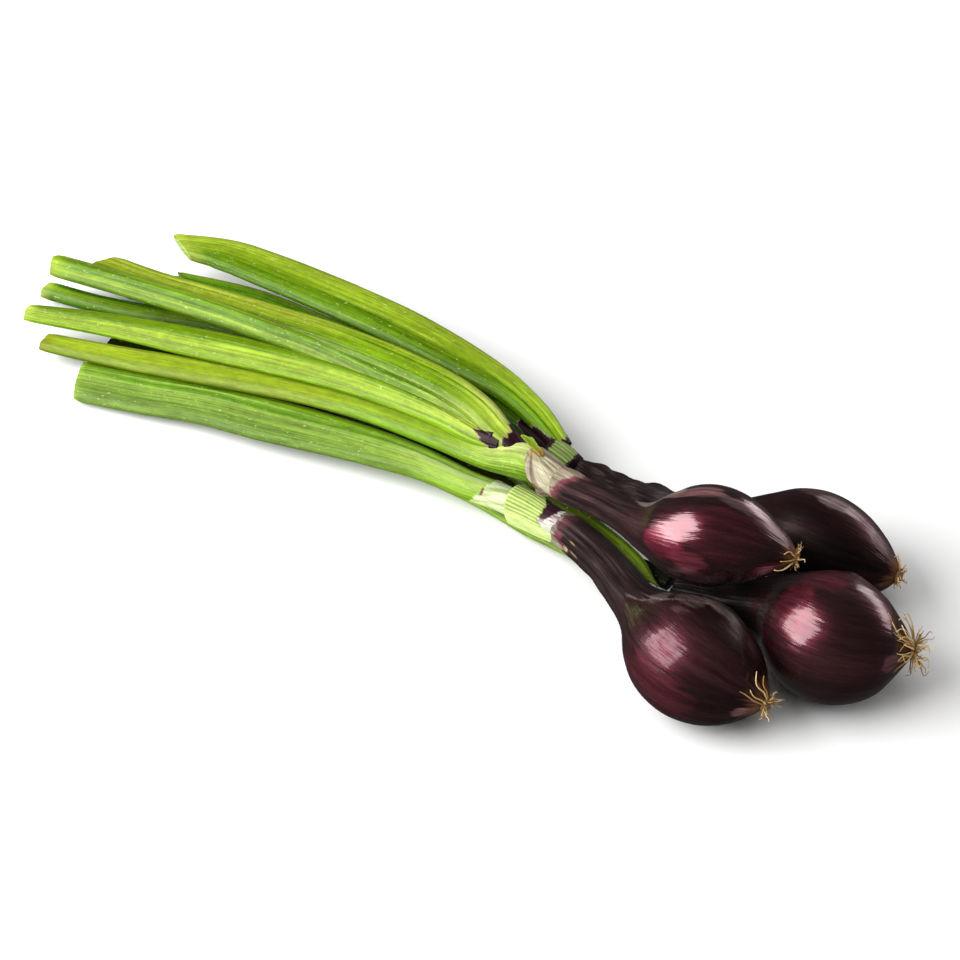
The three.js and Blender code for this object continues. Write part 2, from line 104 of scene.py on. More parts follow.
# A sheath's route of (x, y, z, half width, half thickness) runs from the neck to its open end.
SHEATHS = {
    "front_onion_collar": [
        (40.5, -5, 12.4, 5, 5), (34.5, -4, 11.8, 5.3, 5.3), (29, -2.5, 11.2, 5.7, 5.7),
        (23.5, -1.5, 10.8, 6, 6),
    ],
    "top_onion_papery_sheath": [
        (38, -1, 27.2, 4.8, 4.8), (34, 0.5, 26.2, 5.3, 5.3), (31.5, 1.5, 25.5, 5.6, 5.6),
        (28.5, 2.5, 25.1, 5.9, 5.9),
    ],
    "back_onion_sheath": [
        (33.5, 17.5, 13.5, 4.5, 4.5), (29, 19, 13.8, 4.9, 4.8), (24, 20.5, 14, 5, 4.6),
    ],
}

# A leaf has the depth of the groove along its top, the slant of its cut end, and a route of
# (x, y, z, half width, half thickness) from its base to that end.
LEAVES = {
    "front_onion_wide_leaf": (0.1, 0.2, [
        (25.5, -2, 11, 4.2, 3.8), (17.5, -0.5, 10.5, 4.6, 3.9), (7, 0, 10, 5, 3.8),
        (-11.5, 2, 9.2, 6, 3.6), (-32, 1.5, 8.4, 7.4, 3.4), (-60.5, -1, 7.2, 8.8, 3.3),
        (-84.5, -3, 5.8, 8.9, 3.2), (-104, -6.5, 4.5, 8.8, 3.2), (-128, -10.5, 3.1, 8.5, 3.2),
    ]),
    "front_onion_low_leaf": (0, 0.3, [
        (47, -8.5, 7, 1.7, 1.4), (38.5, -5.5, 5.8, 2.8, 2), (28.5, -2.5, 4.6, 3.7, 2.3),
        (17, 1, 3.6, 3.9, 2.4), (5.5, 3.5, 2.8, 3.8, 2.4), (-9.5, 5, 2.4, 3.4, 2.2),
        (-25, 4.5, 2.3, 3.2, 2.1), (-40, 3, 2.3, 3, 2),
    ]),
    "top_onion_pale_leaf": (0.12, -0.2, [
        (28, 3.5, 24.6, 5.2, 4.8), (24, 4, 24.4, 5.9, 5.3), (19, 4, 23.6, 5.9, 4.8),
        (12, 3.5, 22, 5, 3.8), (-7, 7, 18.5, 4.8, 3.2), (-29.5, 10, 15.5, 5, 2.8),
        (-57.5, 9.5, 13, 5.2, 2.6), (-91.5, 4.5, 10.5, 5, 2.5), (-118.5, 0, 8.6, 4.5, 2.4),
        (-145, -3.5, 7, 3.7, 2.3),
    ]),
    "top_onion_back_leaf": (0.16, -0.8, [
        (21, 6.5, 24.6, 3.2, 3), (13.5, 9, 26.5, 4.3, 3.4), (3, 14.5, 27.6, 5, 3.2),
        (-9.5, 19, 27, 5.5, 3.1), (-29.5, 23.5, 25, 5.8, 2.9), (-56.5, 27.5, 21.5, 5.8, 2.9),
        (-80, 29.5, 18, 5.6, 2.8), (-99, 30.5, 15.5, 5.4, 2.8), (-122, 31, 13, 5, 2.7),
        (-145, 32.5, 11.5, 4.7, 2.5),
    ]),
    "top_onion_front_leaf": (-0.14, -0.2, [
        (14.5, 6, 25.3, 2.4, 2.6), (6.5, 6.5, 24.5, 2.9, 3), (-10, 11.5, 22.5, 4.2, 3.1),
        (-42, 15.5, 19, 5.4, 3.1), (-69.5, 15, 16.5, 6.4, 3.1), (-99.5, 12, 14, 6.3, 3),
        (-127, 8, 12.5, 5, 2.6), (-154, 1.5, 12, 3.4, 2.3),
    ]),
    "top_onion_middle_leaf": (-0.16, 0.2, [
        (12, 6.5, 26, 2.4, 2.6), (3.5, 10.5, 25, 2.8, 2.8), (-14, 15, 23, 3.8, 3), (-34, 18.5, 21, 4, 3),
        (-57.5, 22, 19.8, 4.2, 3), (-75.5, 22, 19.8, 4.2, 3), (-94, 22.5, 19.2, 4.4, 3),
        (-124, 22, 18, 4.6, 3), (-156, 20.5, 16.5, 4.6, 3),
    ]),
    "right_onion_upper_leaf": (0.08, -0.2, [
        (75, -11.5, 10.5, 2.2, 2), (67.5, -7.5, 10.8, 2.7, 2.2), (59, -3.5, 11, 3, 2.4),
        (47.5, 0.5, 11, 3.2, 2.4), (34.5, 4, 11, 3.3, 2.5), (19, 10, 10.8, 3.3, 2.5),
        (1, 18.5, 9.8, 3.3, 2.5), (-32.5, 28, 7, 3.3, 2.5), (-63, 31, 5, 3.3, 2.5),
        (-89, 31, 4.5, 3.3, 2.5), (-106.5, 29, 4.5, 3.6, 2.6), (-123, 24.5, 4.8, 3.6, 2.6),
        (-140, 21, 5, 3.3, 2.6), (-159.5, 19, 5, 3.5, 2.5),
    ]),
    "right_onion_lower_leaf": (0, 0, [
        (76.5, -4.5, 6.3, 3.4, 2.2), (71, -3.5, 6, 3.7, 2.2), (65, -3, 5.6, 3, 2.2),
        (49.5, 3, 5.2, 3, 2.2), (29.5, 10, 4.4, 3.8, 2.2), (11, 12, 4, 4.2, 2.2), (-8.5, 13, 3.6, 4, 2.2),
        (-33, 16, 3, 3.6, 2.2), (-62, 15.5, 2.6, 3.4, 2.2), (-94, 14, 2.5, 3.4, 2.2),
        (-128.5, 7.5, 2.5, 3.8, 2.2),
    ]),
    "back_onion_low_leaf": (0.1, -0.7, [
        (24.5, 24.5, 10, 2.6, 2.2), (7.5, 26.5, 8, 4, 2.3), (-21, 33.5, 6, 5.5, 2.3),
        (-58, 42, 4.5, 6.3, 2.3), (-88.5, 43, 3.2, 6.5, 2.3), (-115, 42.5, 2.5, 6.5, 2.3),
        (-134.5, 37, 2.1, 6, 2.2),
    ]),
    "back_onion_middle_leaf": (0.1, 0.9, [
        (26.5, 22.5, 13, 2.6, 2.4), (10.5, 29, 11.5, 4.2, 2.5), (-9.5, 35.5, 10.5, 4.6, 2.5),
        (-38, 39, 9.8, 4.6, 2.4), (-69, 41.5, 9, 4.6, 2.3), (-95.5, 43, 8.3, 4.4, 2.2),
        (-120, 40, 7.8, 3.8, 2.1),
    ]),
    "back_onion_wide_leaf": (0.2, 1.1, [
        (27.5, 22.5, 14.8, 3.1, 2.6), (23.5, 24.5, 16.5, 3.6, 3), (15, 29.5, 17.5, 4.6, 3.2),
        (1.5, 35.5, 18, 5.6, 3.2), (-18.5, 40.5, 18, 7.1, 3.1), (-40.5, 44.5, 18, 7.8, 3),
        (-64.5, 47.5, 17.5, 8, 3), (-91.5, 49.5, 17, 7.8, 3), (-108, 50.5, 16, 7.2, 2.9),
        (-124, 48, 15, 5.2, 2.7),
    ]),
}

# ---- Colour and noise ----


def rgb(code):
    """A linear colour from an sRGB hex code."""
    s = np.array([int(code[i : i + 2], 16) for i in (0, 2, 4)]) / 255
    return np.where(s <= 0.04045, s / 12.92, ((s + 0.055) / 1.055) ** 2.4)


def mix(a, b, share):
    """Colours a and b blended, each an array or an sRGB hex code."""
    a, b = (rgb(colour) if isinstance(colour, str) else colour for colour in (a, b))
    share = np.asarray(share)[..., None]
    return a * (1 - share) + b * share


def ramp(x, low, high):
    t = np.clip((x - low) / (high - low), 0, 1)
    return t * t * (3 - 2 * t)


def noise(x, y, seed, wrap=256):
    """Smooth noise from 0 to 1. Along x it repeats after a whole number of cells."""
    grid = np.random.RandomState(seed).rand(wrap, 256)
    x, y = np.broadcast_arrays(x, y)
    i, j = np.floor(x).astype(int), np.floor(y).astype(int)
    u, v = ramp(x - i, 0, 1), ramp(y - j, 0, 1)
    low = grid[i % wrap, j % 256] * (1 - u) + grid[(i + 1) % wrap, j % 256] * u
    high = grid[i % wrap, (j + 1) % 256] * (1 - u) + grid[(i + 1) % wrap, (j + 1) % 256] * u
    return low * (1 - v) + high * v


def streaks(angle, along, count, length, seed):
    """Noise drawn out along a piece: count cells round it, each of the given length."""
    return noise(angle / TURN * count, along / length, seed, count)


def rough(angle, along, count, length, seed):
    """Streaks in three sizes, for torn edges and blotches."""
    total = streaks(angle, along, count, length, seed)
    total = total + 0.5 * streaks(angle, along, 2 * count, length / 2, seed + 1)
    total = total + 0.25 * streaks(angle, along, 4 * count, length / 4, seed + 2)
    return total / 1.75


def around(angle, centre):
    """Angle from a direction, from -pi to pi."""
    return np.angle(np.exp(1j * (angle - centre)))


def level_round(stops, angle):
    """A value at each angle round a piece, blended between {degrees: value} stops."""
    return np.interp(np.degrees(angle), list(stops), list(stops.values()), period=360)


def colour_round(stops, angle):
    """A colour at each angle round a piece, blended between {degrees: colour} stops."""
    shades = [rgb(code) for code in stops.values()]
    return np.stack([level_round(dict(zip(stops, part)), angle) for part in zip(*shades)], -1)


def torn_edge(stops, angle, depth, seed):
    """Where a torn edge lies along a piece, through {degrees: distance} stops, with teeth."""
    return level_round(stops, angle) + depth * (2 * rough(angle, 0 * angle, 34, 9, seed) - 1)


def patch(angle, distance, place, size, seed):
    """A ragged patch: 1 inside, 0 outside. Place and size are (degrees, distance)."""
    turned = np.degrees(around(angle, math.radians(place[0]))) / size[0]
    reach = turned**2 + ((distance - place[1]) / size[1]) ** 2
    return ramp(1.0 - reach + 1.1 * (rough(angle, distance, 60, 6, seed) - 0.5), 0.1, 0.55)


# ---- Sweeping ----


PATH_SAMPLES = 201  # points along a curve at which its length is added up
TANGENT_STEP = 1e-4  # part of a curve's length to each side, over which its tangent is taken


class Path:
    """A smooth curve through points, measured along its length."""

    def __init__(self, points, uniform=False):
        p = np.array(points, float)
        self.p = np.vstack([2 * p[0] - p[1], p, 2 * p[-1] - p[-2]])
        self.uniform = uniform
        self.t = np.linspace(0, 1, PATH_SAMPLES)
        steps = np.linalg.norm(np.diff(self.at(self.t), axis=0), axis=1)
        self.run = np.concatenate([[0], np.cumsum(steps)])
        self.length = self.run[-1]

    def at(self, t):
        """Points at parts t, from 0 to 1, of the way through the spans."""
        spans = len(self.p) - 3
        s = np.clip(t, 0, 1) * spans
        k = np.minimum(s.astype(int), spans - 1)
        w = (s - k)[:, None]
        p0, p1, p2, p3 = (self.p[k + i] for i in range(4))
        if self.uniform:
            m1, m2 = (p2 - p0) / 2, (p3 - p1) / 2
        else:
            pairs = ((p0, p1), (p1, p2), (p2, p3))
            d0, d1, d2 = (np.linalg.norm(b - a, axis=1, keepdims=True) ** 0.5 for a, b in pairs)
            m1 = ((p1 - p0) / d0 - (p2 - p0) / (d0 + d1) + (p2 - p1) / d1) * d1
            m2 = ((p2 - p1) / d1 - (p3 - p1) / (d1 + d2) + (p3 - p2) / d2) * d1
        return p1 + m1 * w + (3 * (p2 - p1) - 2 * m1 - m2) * w**2 + (2 * (p1 - p2) + m1 + m2) * w**3

    def t_of(self, distance):
        return np.interp(distance, self.run, self.t)

    def axes(self, distance):
        """Centre, tangent, level side and rise at each distance along the curve."""
        t = self.t_of(distance)
        ahead, behind = np.minimum(t + TANGENT_STEP, 1), np.maximum(t - TANGENT_STEP, 0)
        tangent = self.at(ahead) - self.at(behind)
        tangent /= np.linalg.norm(tangent, axis=1, keepdims=True)
        side = np.cross([0, 0, 1], tangent)
        side /= np.linalg.norm(side, axis=1, keepdims=True)
        return self.at(t), tangent, side, np.cross(tangent, side)

    def place(self, distance, across, above, forward=0):
        """Points [ring, side] at offsets from the curve."""
        centre, tangent, side, rise = (a[:, None, :] for a in self.axes(np.ravel(distance)))
        across, above, forward = np.broadcast_arrays(across, above, forward)
        return centre + side * across[..., None] + rise * above[..., None] + tangent * forward[..., None]


class Skin:
    """Gathers tubes, with colour, gloss and vein strength at every vertex, into one mesh."""

    def __init__(self):
        self.points, self.tint, self.gloss, self.veins = [], [], [], []
        self.grain, self.faces = [], []
        self.count = 0

    def add(self, points, tint, gloss, grain, veins=0.5):
        """Adds a tube of points [ring, side] with a cap on each end."""
        rings, sides = points.shape[:2]
        flat = rings * sides
        blocks = [
            (self.points, points, 3),
            (self.tint, np.broadcast_to(tint, (rings, sides, 3)), 3),
            (self.gloss, np.broadcast_to(gloss, (rings, sides)), 1),
            (self.veins, np.broadcast_to(veins, (rings, sides)), 1),
            (self.grain, grain, 3),
        ]
        for store, values, width in blocks:
            values = np.asarray(values, float).reshape(flat, width)
            store.append(values)
            store.append(values[:sides].mean(0, keepdims=True))
            store.append(values[-sides:].mean(0, keepdims=True))
        i = np.arange(rings - 1)[:, None] * sides
        j = np.arange(sides)
        k = (j + 1) % sides
        last = flat - sides
        quads = np.stack([i + j, i + k, i + sides + k, i + sides + j], -1).reshape(-1, 4)
        start = np.stack([np.full(sides, flat), k, j], 1)
        end = np.stack([np.full(sides, flat + 1), last + j, last + k], 1)
        for faces in (quads, start, end):
            self.faces += (faces + self.count).tolist()
        self.count += flat + 2

    def build(self, name, material, slot, replaced):
        points = (np.vstack(self.points) - BUNCH_CENTRE) * MM
        points[:, 2] = np.maximum(points[:, 2], 0)
        mesh = bpy.data.meshes.new(name)
        mesh.from_pydata(points.tolist(), [], self.faces)
        mesh.polygons.foreach_set("use_smooth", [True] * len(mesh.polygons))
        tint = np.clip(np.vstack(self.tint), 0, 1)
        tint = np.hstack([tint, np.ones((len(tint), 1))])
        layers = [
            ("tint", "FLOAT_COLOR", "color", tint),
            ("gloss", "FLOAT", "value", np.clip(np.vstack(self.gloss), 0, 1)),
            ("veins", "FLOAT", "value", np.clip(np.vstack(self.veins), 0, 1)),
            ("grain", "FLOAT_VECTOR", "vector", np.vstack(self.grain)),
        ]
        for label, kind, field, values in layers:
            mesh.attributes.new(label, kind, "POINT").data.foreach_set(field, values.ravel())
        mesh.materials.append(material)
        mesh.update()
        piece = bpy.data.objects.new(name, mesh)
        bpy.context.scene.collection.objects.link(piece)
        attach(piece, "root")
        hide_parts(replaced)
        return piece


def grain_of(angle, along, width=1.0):
    """Pattern coordinates that run along a piece without a seam round it."""
    angle, along = np.broadcast_arrays(angle, along)
    return np.stack([np.cos(angle) * width, np.sin(angle) * width, along], -1)


# ---- Materials ----


class Graph:
    """A short way to write a material's nodes."""

    def __init__(self, name):
        self.material = bpy.data.materials.new(name)
        self.material.use_nodes = True
        self.tree = self.material.node_tree
        self.shader = self.tree.nodes["Principled BSDF"]

    def node(self, kind, inputs=None, **settings):
        made = self.tree.nodes.new(kind)
        for key, value in settings.items():
            setattr(made, key, value)
        for key, value in (inputs or {}).items():
            self.put(made.inputs[key], value)
        return made

    def put(self, socket, value):
        """Links a value that is another node's output, and sets any other value."""
        if isinstance(value, bpy.types.NodeSocket):
            self.tree.links.new(value, socket)
        else:
            socket.default_value = value

    def attribute(self, name, output="Fac"):
        return self.node("ShaderNodeAttribute", attribute_name=name).outputs[output]

    def noise(self, vector, scale, stretch=(1, 1, 1), detail=2.0, roughness=0.5):
        stretched = self.node("ShaderNodeVectorMath", {0: vector, 1: stretch}, operation="MULTIPLY")
        inputs = {"Vector": stretched.outputs[0], "Scale": scale, "Detail": detail, "Roughness": roughness}
        return self.node("ShaderNodeTexNoise", inputs).outputs["Fac"]

    def remap(self, value, low, high, to_low, to_high):
        inputs = {"Value": value, "From Min": low, "From Max": high, "To Min": to_low, "To Max": to_high}
        return self.node("ShaderNodeMapRange", inputs).outputs["Result"]

    def math(self, operation, a, b):
        return self.node("ShaderNodeMath", {0: a, 1: b}, operation=operation).outputs[0]

    def scaled(self, colour, factor):
        inputs = {0: colour, "Scale": factor}
        return self.node("ShaderNodeVectorMath", inputs, operation="SCALE").outputs[0]

    def blend(self, factor, a, b):
        made = self.node("ShaderNodeMix", data_type="RGBA")
        self.put(made.inputs["Factor"], factor)
        self.put(made.inputs[6], a)
        self.put(made.inputs[7], b)
        return made.outputs[2]

    def bump(self, height, strength, distance, normal=None):
        inputs = {"Height": height, "Strength": strength, "Distance": distance}
        if normal is not None:
            inputs["Normal"] = normal
        return self.node("ShaderNodeBump", inputs).outputs["Normal"]

    def finish(self, **sockets):
        for key, value in sockets.items():
            self.put(self.shader.inputs[key.replace("_", " ")], value)
        return self.material


def colour4(code):
    return (*rgb(code), 1.0)


def onion_skin():
    """Glossy dark skin with lines along it, worn dull in clouds. Its gloss is tinted wine red."""
    g = Graph("onion_skin")
    tint, gloss, grain = g.attribute("tint", "Color"), g.attribute("gloss"), g.attribute("grain", "Vector")
    fine = g.noise(grain, 34, (1, 1, 0.008), 3)
    broad = g.noise(grain, 8, (1, 1, 0.009), 2)
    cloud = g.noise(g.node("ShaderNodeTexCoord").outputs["Object"], 110, detail=5)
    shade = g.math("MULTIPLY", g.remap(fine, 0.3, 0.7, 0.62, 1.4), g.remap(broad, 0.3, 0.7, 0.75, 1.25))
    base = g.scaled(tint, shade)
    wear = g.math("MULTIPLY", g.remap(cloud, 0.48, 0.68, 0, 0.5), g.remap(fine, 0.4, 0.6, 0.1, 1))
    dull = g.math("SUBTRACT", gloss, wear)
    lines = g.bump(fine, 0.14, 0.0004)
    relief = g.bump(cloud, 0.1, 0.0012, g.bump(broad, 0.2, 0.001, lines))
    return g.finish(
        Base_Color=base,
        Roughness=g.remap(dull, 0, 1, 0.5, 0.27),
        IOR=1.5,
        Specular_IOR_Level=1.0,
        Specular_Tint=g.blend(g.remap(gloss, 0.1, 0.85, 0, 1), (0.15, 0.12, 0.12, 1), (1.0, 0.16, 0.26, 1)),
        Coat_Weight=g.remap(dull, 0.3, 1, 0.03, 1.0),
        Coat_Roughness=0.07,
        Coat_IOR=1.62,
        Normal=relief,
        Coat_Normal=relief,
    )


def leaf_blade(name, roughness_low, roughness_high):
    """Satin green or papery skin, with veins along it and pale flecks between them."""
    g = Graph(name)
    tint, gloss, grain = g.attribute("tint", "Color"), g.attribute("gloss"), g.attribute("grain", "Vector")
    veins = g.attribute("veins")
    fine = g.noise(grain, 2.0, (1, 1, 0.012), 2)
    broad = g.noise(grain, 0.8, (1, 1, 0.02), 2)
    mottle = g.noise(grain, 0.5, (1, 1, 0.3), 4, 0.65)
    fleck = g.noise(grain, 1.7, (1, 1, 0.4), 2, 0.6)
    speckle = g.noise(grain, 1.3, (1, 1, 0.28), 3, 0.7)
    contrast = g.math("MULTIPLY", g.remap(fine, 0.38, 0.62, -0.6, 0.5), veins)
    cloudy = g.math("MULTIPLY", g.remap(broad, 0.3, 0.7, 0.9, 1.1), g.remap(mottle, 0.3, 0.7, 0.8, 1.2))
    cloudy = g.math("MULTIPLY", cloudy, g.remap(speckle, 0.3, 0.7, 0.86, 1.14))
    striped = g.scaled(tint, g.math("ADD", cloudy, contrast))
    shown = g.math("MULTIPLY", g.remap(fleck, 0.655, 0.72, 0, 0.6), g.remap(veins, 0.1, 0.4, 0, 1))
    base = g.blend(shown, striped, colour4("c3d086"))
    rubbed = g.math("ADD", gloss, g.remap(mottle, 0.3, 0.7, -0.2, 0.2))
    lines = g.bump(fine, 0.25, 0.0005)
    relief = g.bump(broad, 0.2, 0.001, lines)
    return g.finish(
        Base_Color=base,
        Roughness=g.remap(rubbed, 0, 1, roughness_high, roughness_low),
        IOR=1.4,
        Specular_IOR_Level=0.3,
        Normal=relief,
    )


def dry_root():
    g = Graph("root")
    tint, grain = g.attribute("tint", "Color"), g.attribute("grain", "Vector")
    fleck = g.noise(grain, 3, (1, 1, 1), 3)
    base = g.scaled(tint, g.remap(fleck, 0.3, 0.7, 0.7, 1.25))
    roughness = g.remap(fleck, 0.3, 0.7, 0.6, 0.85)
    return g.finish(Base_Color=base, Roughness=roughness, Normal=g.bump(fleck, 0.3, 0.0003))


def studio_floor():
    g = Graph("studio_floor")
    place = g.node("ShaderNodeTexCoord").outputs["Object"]
    mottle = g.noise(place, 40, detail=3)
    base = g.blend(g.remap(mottle, 0.3, 0.7, 0, 1), (0.92, 0.92, 0.915, 1), (0.94, 0.94, 0.935, 1))
    return g.finish(Base_Color=base, Roughness=0.9, Specular_IOR_Level=0.1)


SKIN = onion_skin()
LEAF = leaf_blade("leaf", 0.34, 0.52)
PAPER = leaf_blade("papery_sheath", 0.45, 0.7)
ROOT = dry_root()

# ---- Bulbs with their necks ----

BULB_SIDES = 168
BULB_STEP = 0.55  # distance between rings
SKIN_THICKNESS = 0.35
TORN_INSIDE = 4.0  # how far the skin's inner side is drawn back from its torn end
NECK_LENGTH = 14  # distance over which the folds of the neck set in
NECK_RIDGES = 6
NECK_RIDGE_DEPTH = 0.05  # parts of the radius
FINE_WRINKLE = 0.055
BULB_SWELL = (0.006, 0.003)  # broad and narrow waves of the bulb

# Angles run from 0 at the side nearest the camera, over the top at 90, to 180 behind.
# "husk" is where a loose, dusty outer skin begins and "end_line" where the neck's dark skin ends,
# with a stain of "end_tint" before it and "bare" skin past it. A patch has its (degrees, distance)
# and size, its colour, the share of that colour, and the gloss it takes away.
# "shade" and "neck_shade" darken the skin and the neck. They are painted shade on the back onion, which
# lies in the top onion's shadow, and on the right onion's neck, which lies under the front and top onions.
# On the front onion's neck they give a slightly darker tone.
BULB_DEFAULTS = {"shade": 1, "neck_shade": 1, "neck_dull": 0.75, "crumple": 0.02, "taper": 0}
BULB_LOOKS = {
    "front": {
        "seed": 3, "shine": 0.6, "neck_shade": 0.85, "tear": 0.8, "bare": "787060", "end_tint": "5e343a",
        "end_line": {-60: 83, 0: 84, 20: 87.5, 40: 87.2, 70: 88.6, 120: 87.5, 180: 89, 260: 86},
        "husk": {-60: 60, 30: 52, 60: 48, 71: 43.5, 90: 36, 104: 30, 125: 21, 147: 14, 180: 12, 260: 50},
        "patches": [
            ((42, 43), (10, 7), "4c3f2c", 0.4, 0.4), ((8, 3.8), (14, 1.9), "a06c72", 0.4, 0.25),
            ((4, 25), (34, 13), "4c1a22", 0.45, 0.05), ((34, 36), (26, 4.5), "2a1416", 0.5, 0.2),
            ((118, 12), (30, 11), "1d1414", 0.5, 0.25), ((38, 79), (4, 2.2), "8f7850", 0.6, 0.3),
            ((-2, 82), (9, 1.4), "a8a070", 0.7, 0.3), ((4, 77.5), (3.5, 2.6), "84704c", 0.6, 0.3),
            ((30, 85.5), (16, 1.6), "6c2a36", 0.8, 0.2), ((92, 40), (18, 3.4), "645550", 0.45, 0.3),
            ((108, 32), (14, 6), "4c3e3d", 0.45, 0.25), ((122, 23), (9, 8), "7a6a68", 0.5, 0.15),
        ],
    },
    "top": {
        "seed": 13, "shine": 1.0, "tear": 0.3, "taper": 0.25, "bare": "877c68", "end_tint": "743a44",
        "end_line": {-60: 80.5, 0: 80, 28: 78.7, 57: 77.2, 78: 76.2, 95: 74.2, 104: 72, 140: 74, 200: 77},
        "patches": [
            ((50, 20), (45, 12), "3c121c", 0.4, 0), ((70, 42), (50, 5), "2c2020", 0.4, 0.3),
            # Painted glow: the crimson "7a1c34" and "6c2a34" patches round the key lamp's highlight.
            # Painted sheen: the grey "9c8882", "7c5656", "6a5658" and "7d706c" patches along the top rim
            # and the neck's upper edge.
            ((34, 34), (30, 5), "7a1c34", 0.45, 0), ((112, 37), (14, 8), "9c8882", 0.6, 0.1),
            ((106, 28), (13, 9), "7c5656", 0.6, 0), ((94, 17), (10, 6), "6a5658", 0.5, 0),
            ((84, 8), (20, 6), "2c2020", 0.3, 0.35), ((14, 28), (14, 6), "6c2a34", 0.5, 0),
            ((104, 43), (16, 7), "7d706c", 0.5, 0.1),
        ],
    },
    "back": {
        # Painted shade: "shade" halves this onion's colour for the shadow of the top onion.
        "seed": 23, "shine": 0.6, "shade": 0.5, "tear": 1.2, "crumple": 0.14,
        "patches": [
            ((95, 68), (60, 24), "3c3434", 0.35, 0.1), ((100, 6), (30, 4), "4a3434", 0.4, 0.2),
            # Painted shade: the near-black "0c0808" patch, where the top onion shades this one. Painted
            # sheen and highlight: the grey "5a4444" and "8a7a78" patches along the top rim.
            ((40, 30), (46, 26), "0c0808", 0.6, 0.42), ((116, 27), (16, 9), "5a4444", 0.45, 0.1),
            ((108, 21), (13, 8), "8a7a78", 0.6, 0),
        ],
    },
    "right": {
        # Painted shade: "neck_shade" darkens this onion's neck nearly to black, where it lies under the
        # front and top onions.
        "seed": 33, "shine": 0.8, "neck_shade": 0.25, "neck_dull": 1.0, "tear": 0.6,
        "patches": [
            ((32, 40.5), (36, 2.8), "3c3432", 0.45, 0.5), ((27, 7.5), (16, 3), "80505a", 0.4, 0),
            ((0, 36), (30, 8), "40121a", 0.5, 0), ((60, 31), (34, 6), "5c1c28", 0.35, 0),
            ((108, 28), (22, 8), "4c1a22", 0.5, 0),
        ],
    },
}


def profile_radius(profile, distance):
    """The smooth radius between a profile's points."""
    d, r = np.array(profile, float).T
    slope = np.empty(len(d))
    slope[1:-1] = (r[2:] - r[:-2]) / (d[2:] - d[:-2])
    slope[0], slope[-1] = (r[1] - r[0]) / (d[1] - d[0]), (r[-1] - r[-2]) / (d[-1] - d[-2])
    k = np.clip(np.searchsorted(d, distance) - 1, 0, len(d) - 2)
    span = d[k + 1] - d[k]
    t = (distance - d[k]) / span
    return (
        (2 * t**3 - 3 * t**2 + 1) * r[k]
        + (t**3 - 2 * t**2 + t) * span * slope[k]
        + (3 * t**2 - 2 * t**3) * r[k + 1]
        + (t**3 - t**2) * span * slope[k + 1]
    )


def bulb_colours(onion, look, distance, angle):
    """Colour and gloss of an onion's dry skin, from near black to wine red, brown on its neck."""
    seed = look["seed"]
    bands = rough(angle, distance, 14, 60, seed)
    lines = streaks(angle, distance, 84, 50, seed + 4)
    tint = mix("150e0e", "251516", ramp(bands, 0.4, 0.72))
    tint = tint * (0.75 + 0.5 * lines)[..., None]
    # Painted shade for an onion that lies in shadow.
    tint = tint * look["shade"]
    neck = ramp(distance + 8 * (bands - 0.5), onion["neckFrom"] - 7, onion["neckFrom"] + 9)
    bark = mix("1b1313", "281d1d", ramp(0.6 * lines + 0.4 * bands, 0.35, 0.75))
    # The neck is darkened by "neck_shade": painted shade on the right onion.
    tint = mix(tint, bark * look["neck_shade"], neck)
    root_end = 1 - ramp(distance + 4 * (lines - 0.5), 1.0, 4.0)
    tint = mix(tint, "6e4a2c", 0.8 * root_end)
    gloss = look["shine"] * (1 - 0.12 * ramp(lines, 0.6, 0.9))
    gloss = gloss * (1 - look["neck_dull"] * neck) - 0.4 * root_end
    if "husk" in look:
        over = distance - torn_edge(look["husk"], angle, 1.6, seed + 20)
        husk = ramp(over, -0.2, 0.4)
        scratches = ramp(streaks(angle, distance, 150, 14, seed + 21), 0.66, 0.86)
        scratches = scratches * (1 - ramp(over, 4, 16))
        tint = mix(tint, mix("1b1515", "6a5c59", scratches), 0.8 * husk * (1 - neck))
        frayed = over + 2 * rough(angle, distance, 50, 5, seed + 22)
        lip = husk * (1 - ramp(frayed, 1.2, 3.2)) * ramp(np.sin(angle), 0.8, 0.95)
        tint = mix(tint, "7a6862", 0.75 * lip)
        gloss = gloss - 0.42 * husk * (1 - neck)
    # Patches hold stains, dust and torn skin. On some onions they also hold painted sheen, glow and shade.
    for k, (place, size, colour, share, loss) in enumerate(look["patches"]):
        inside = patch(angle, distance, place, size, seed + 30 + k)
        grain = 0.4 + 1.2 * streaks(angle, distance, 120, 12, seed + 50 + k)
        tint = mix(tint, rgb(colour) * grain[..., None], share * inside)
        gloss = gloss - loss * inside
    return tint, gloss


def neck_end_colours(look, tint, gloss, distance, angle, forward):
    """Adds the stain at the end of the neck's dark skin, and the bare skin past it."""
    seed = look["seed"]
    line = torn_edge(look["end_line"], angle, 0.9, seed + 15)
    bare = ramp(distance + forward, line - 0.3, line + 0.5)
    stain = ramp(distance + 3 * streaks(angle, distance, 40, 9, seed + 17), line - 2.6, line + 0.8)
    tint = mix(tint, look["end_tint"], 0.75 * stain)
    grain = 0.7 + 0.6 * streaks(angle, distance, 60, 12, seed + 18)
    tint = mix(tint, rgb(look["bare"]) * grain[..., None], bare)
    return tint, gloss - 0.4 * bare


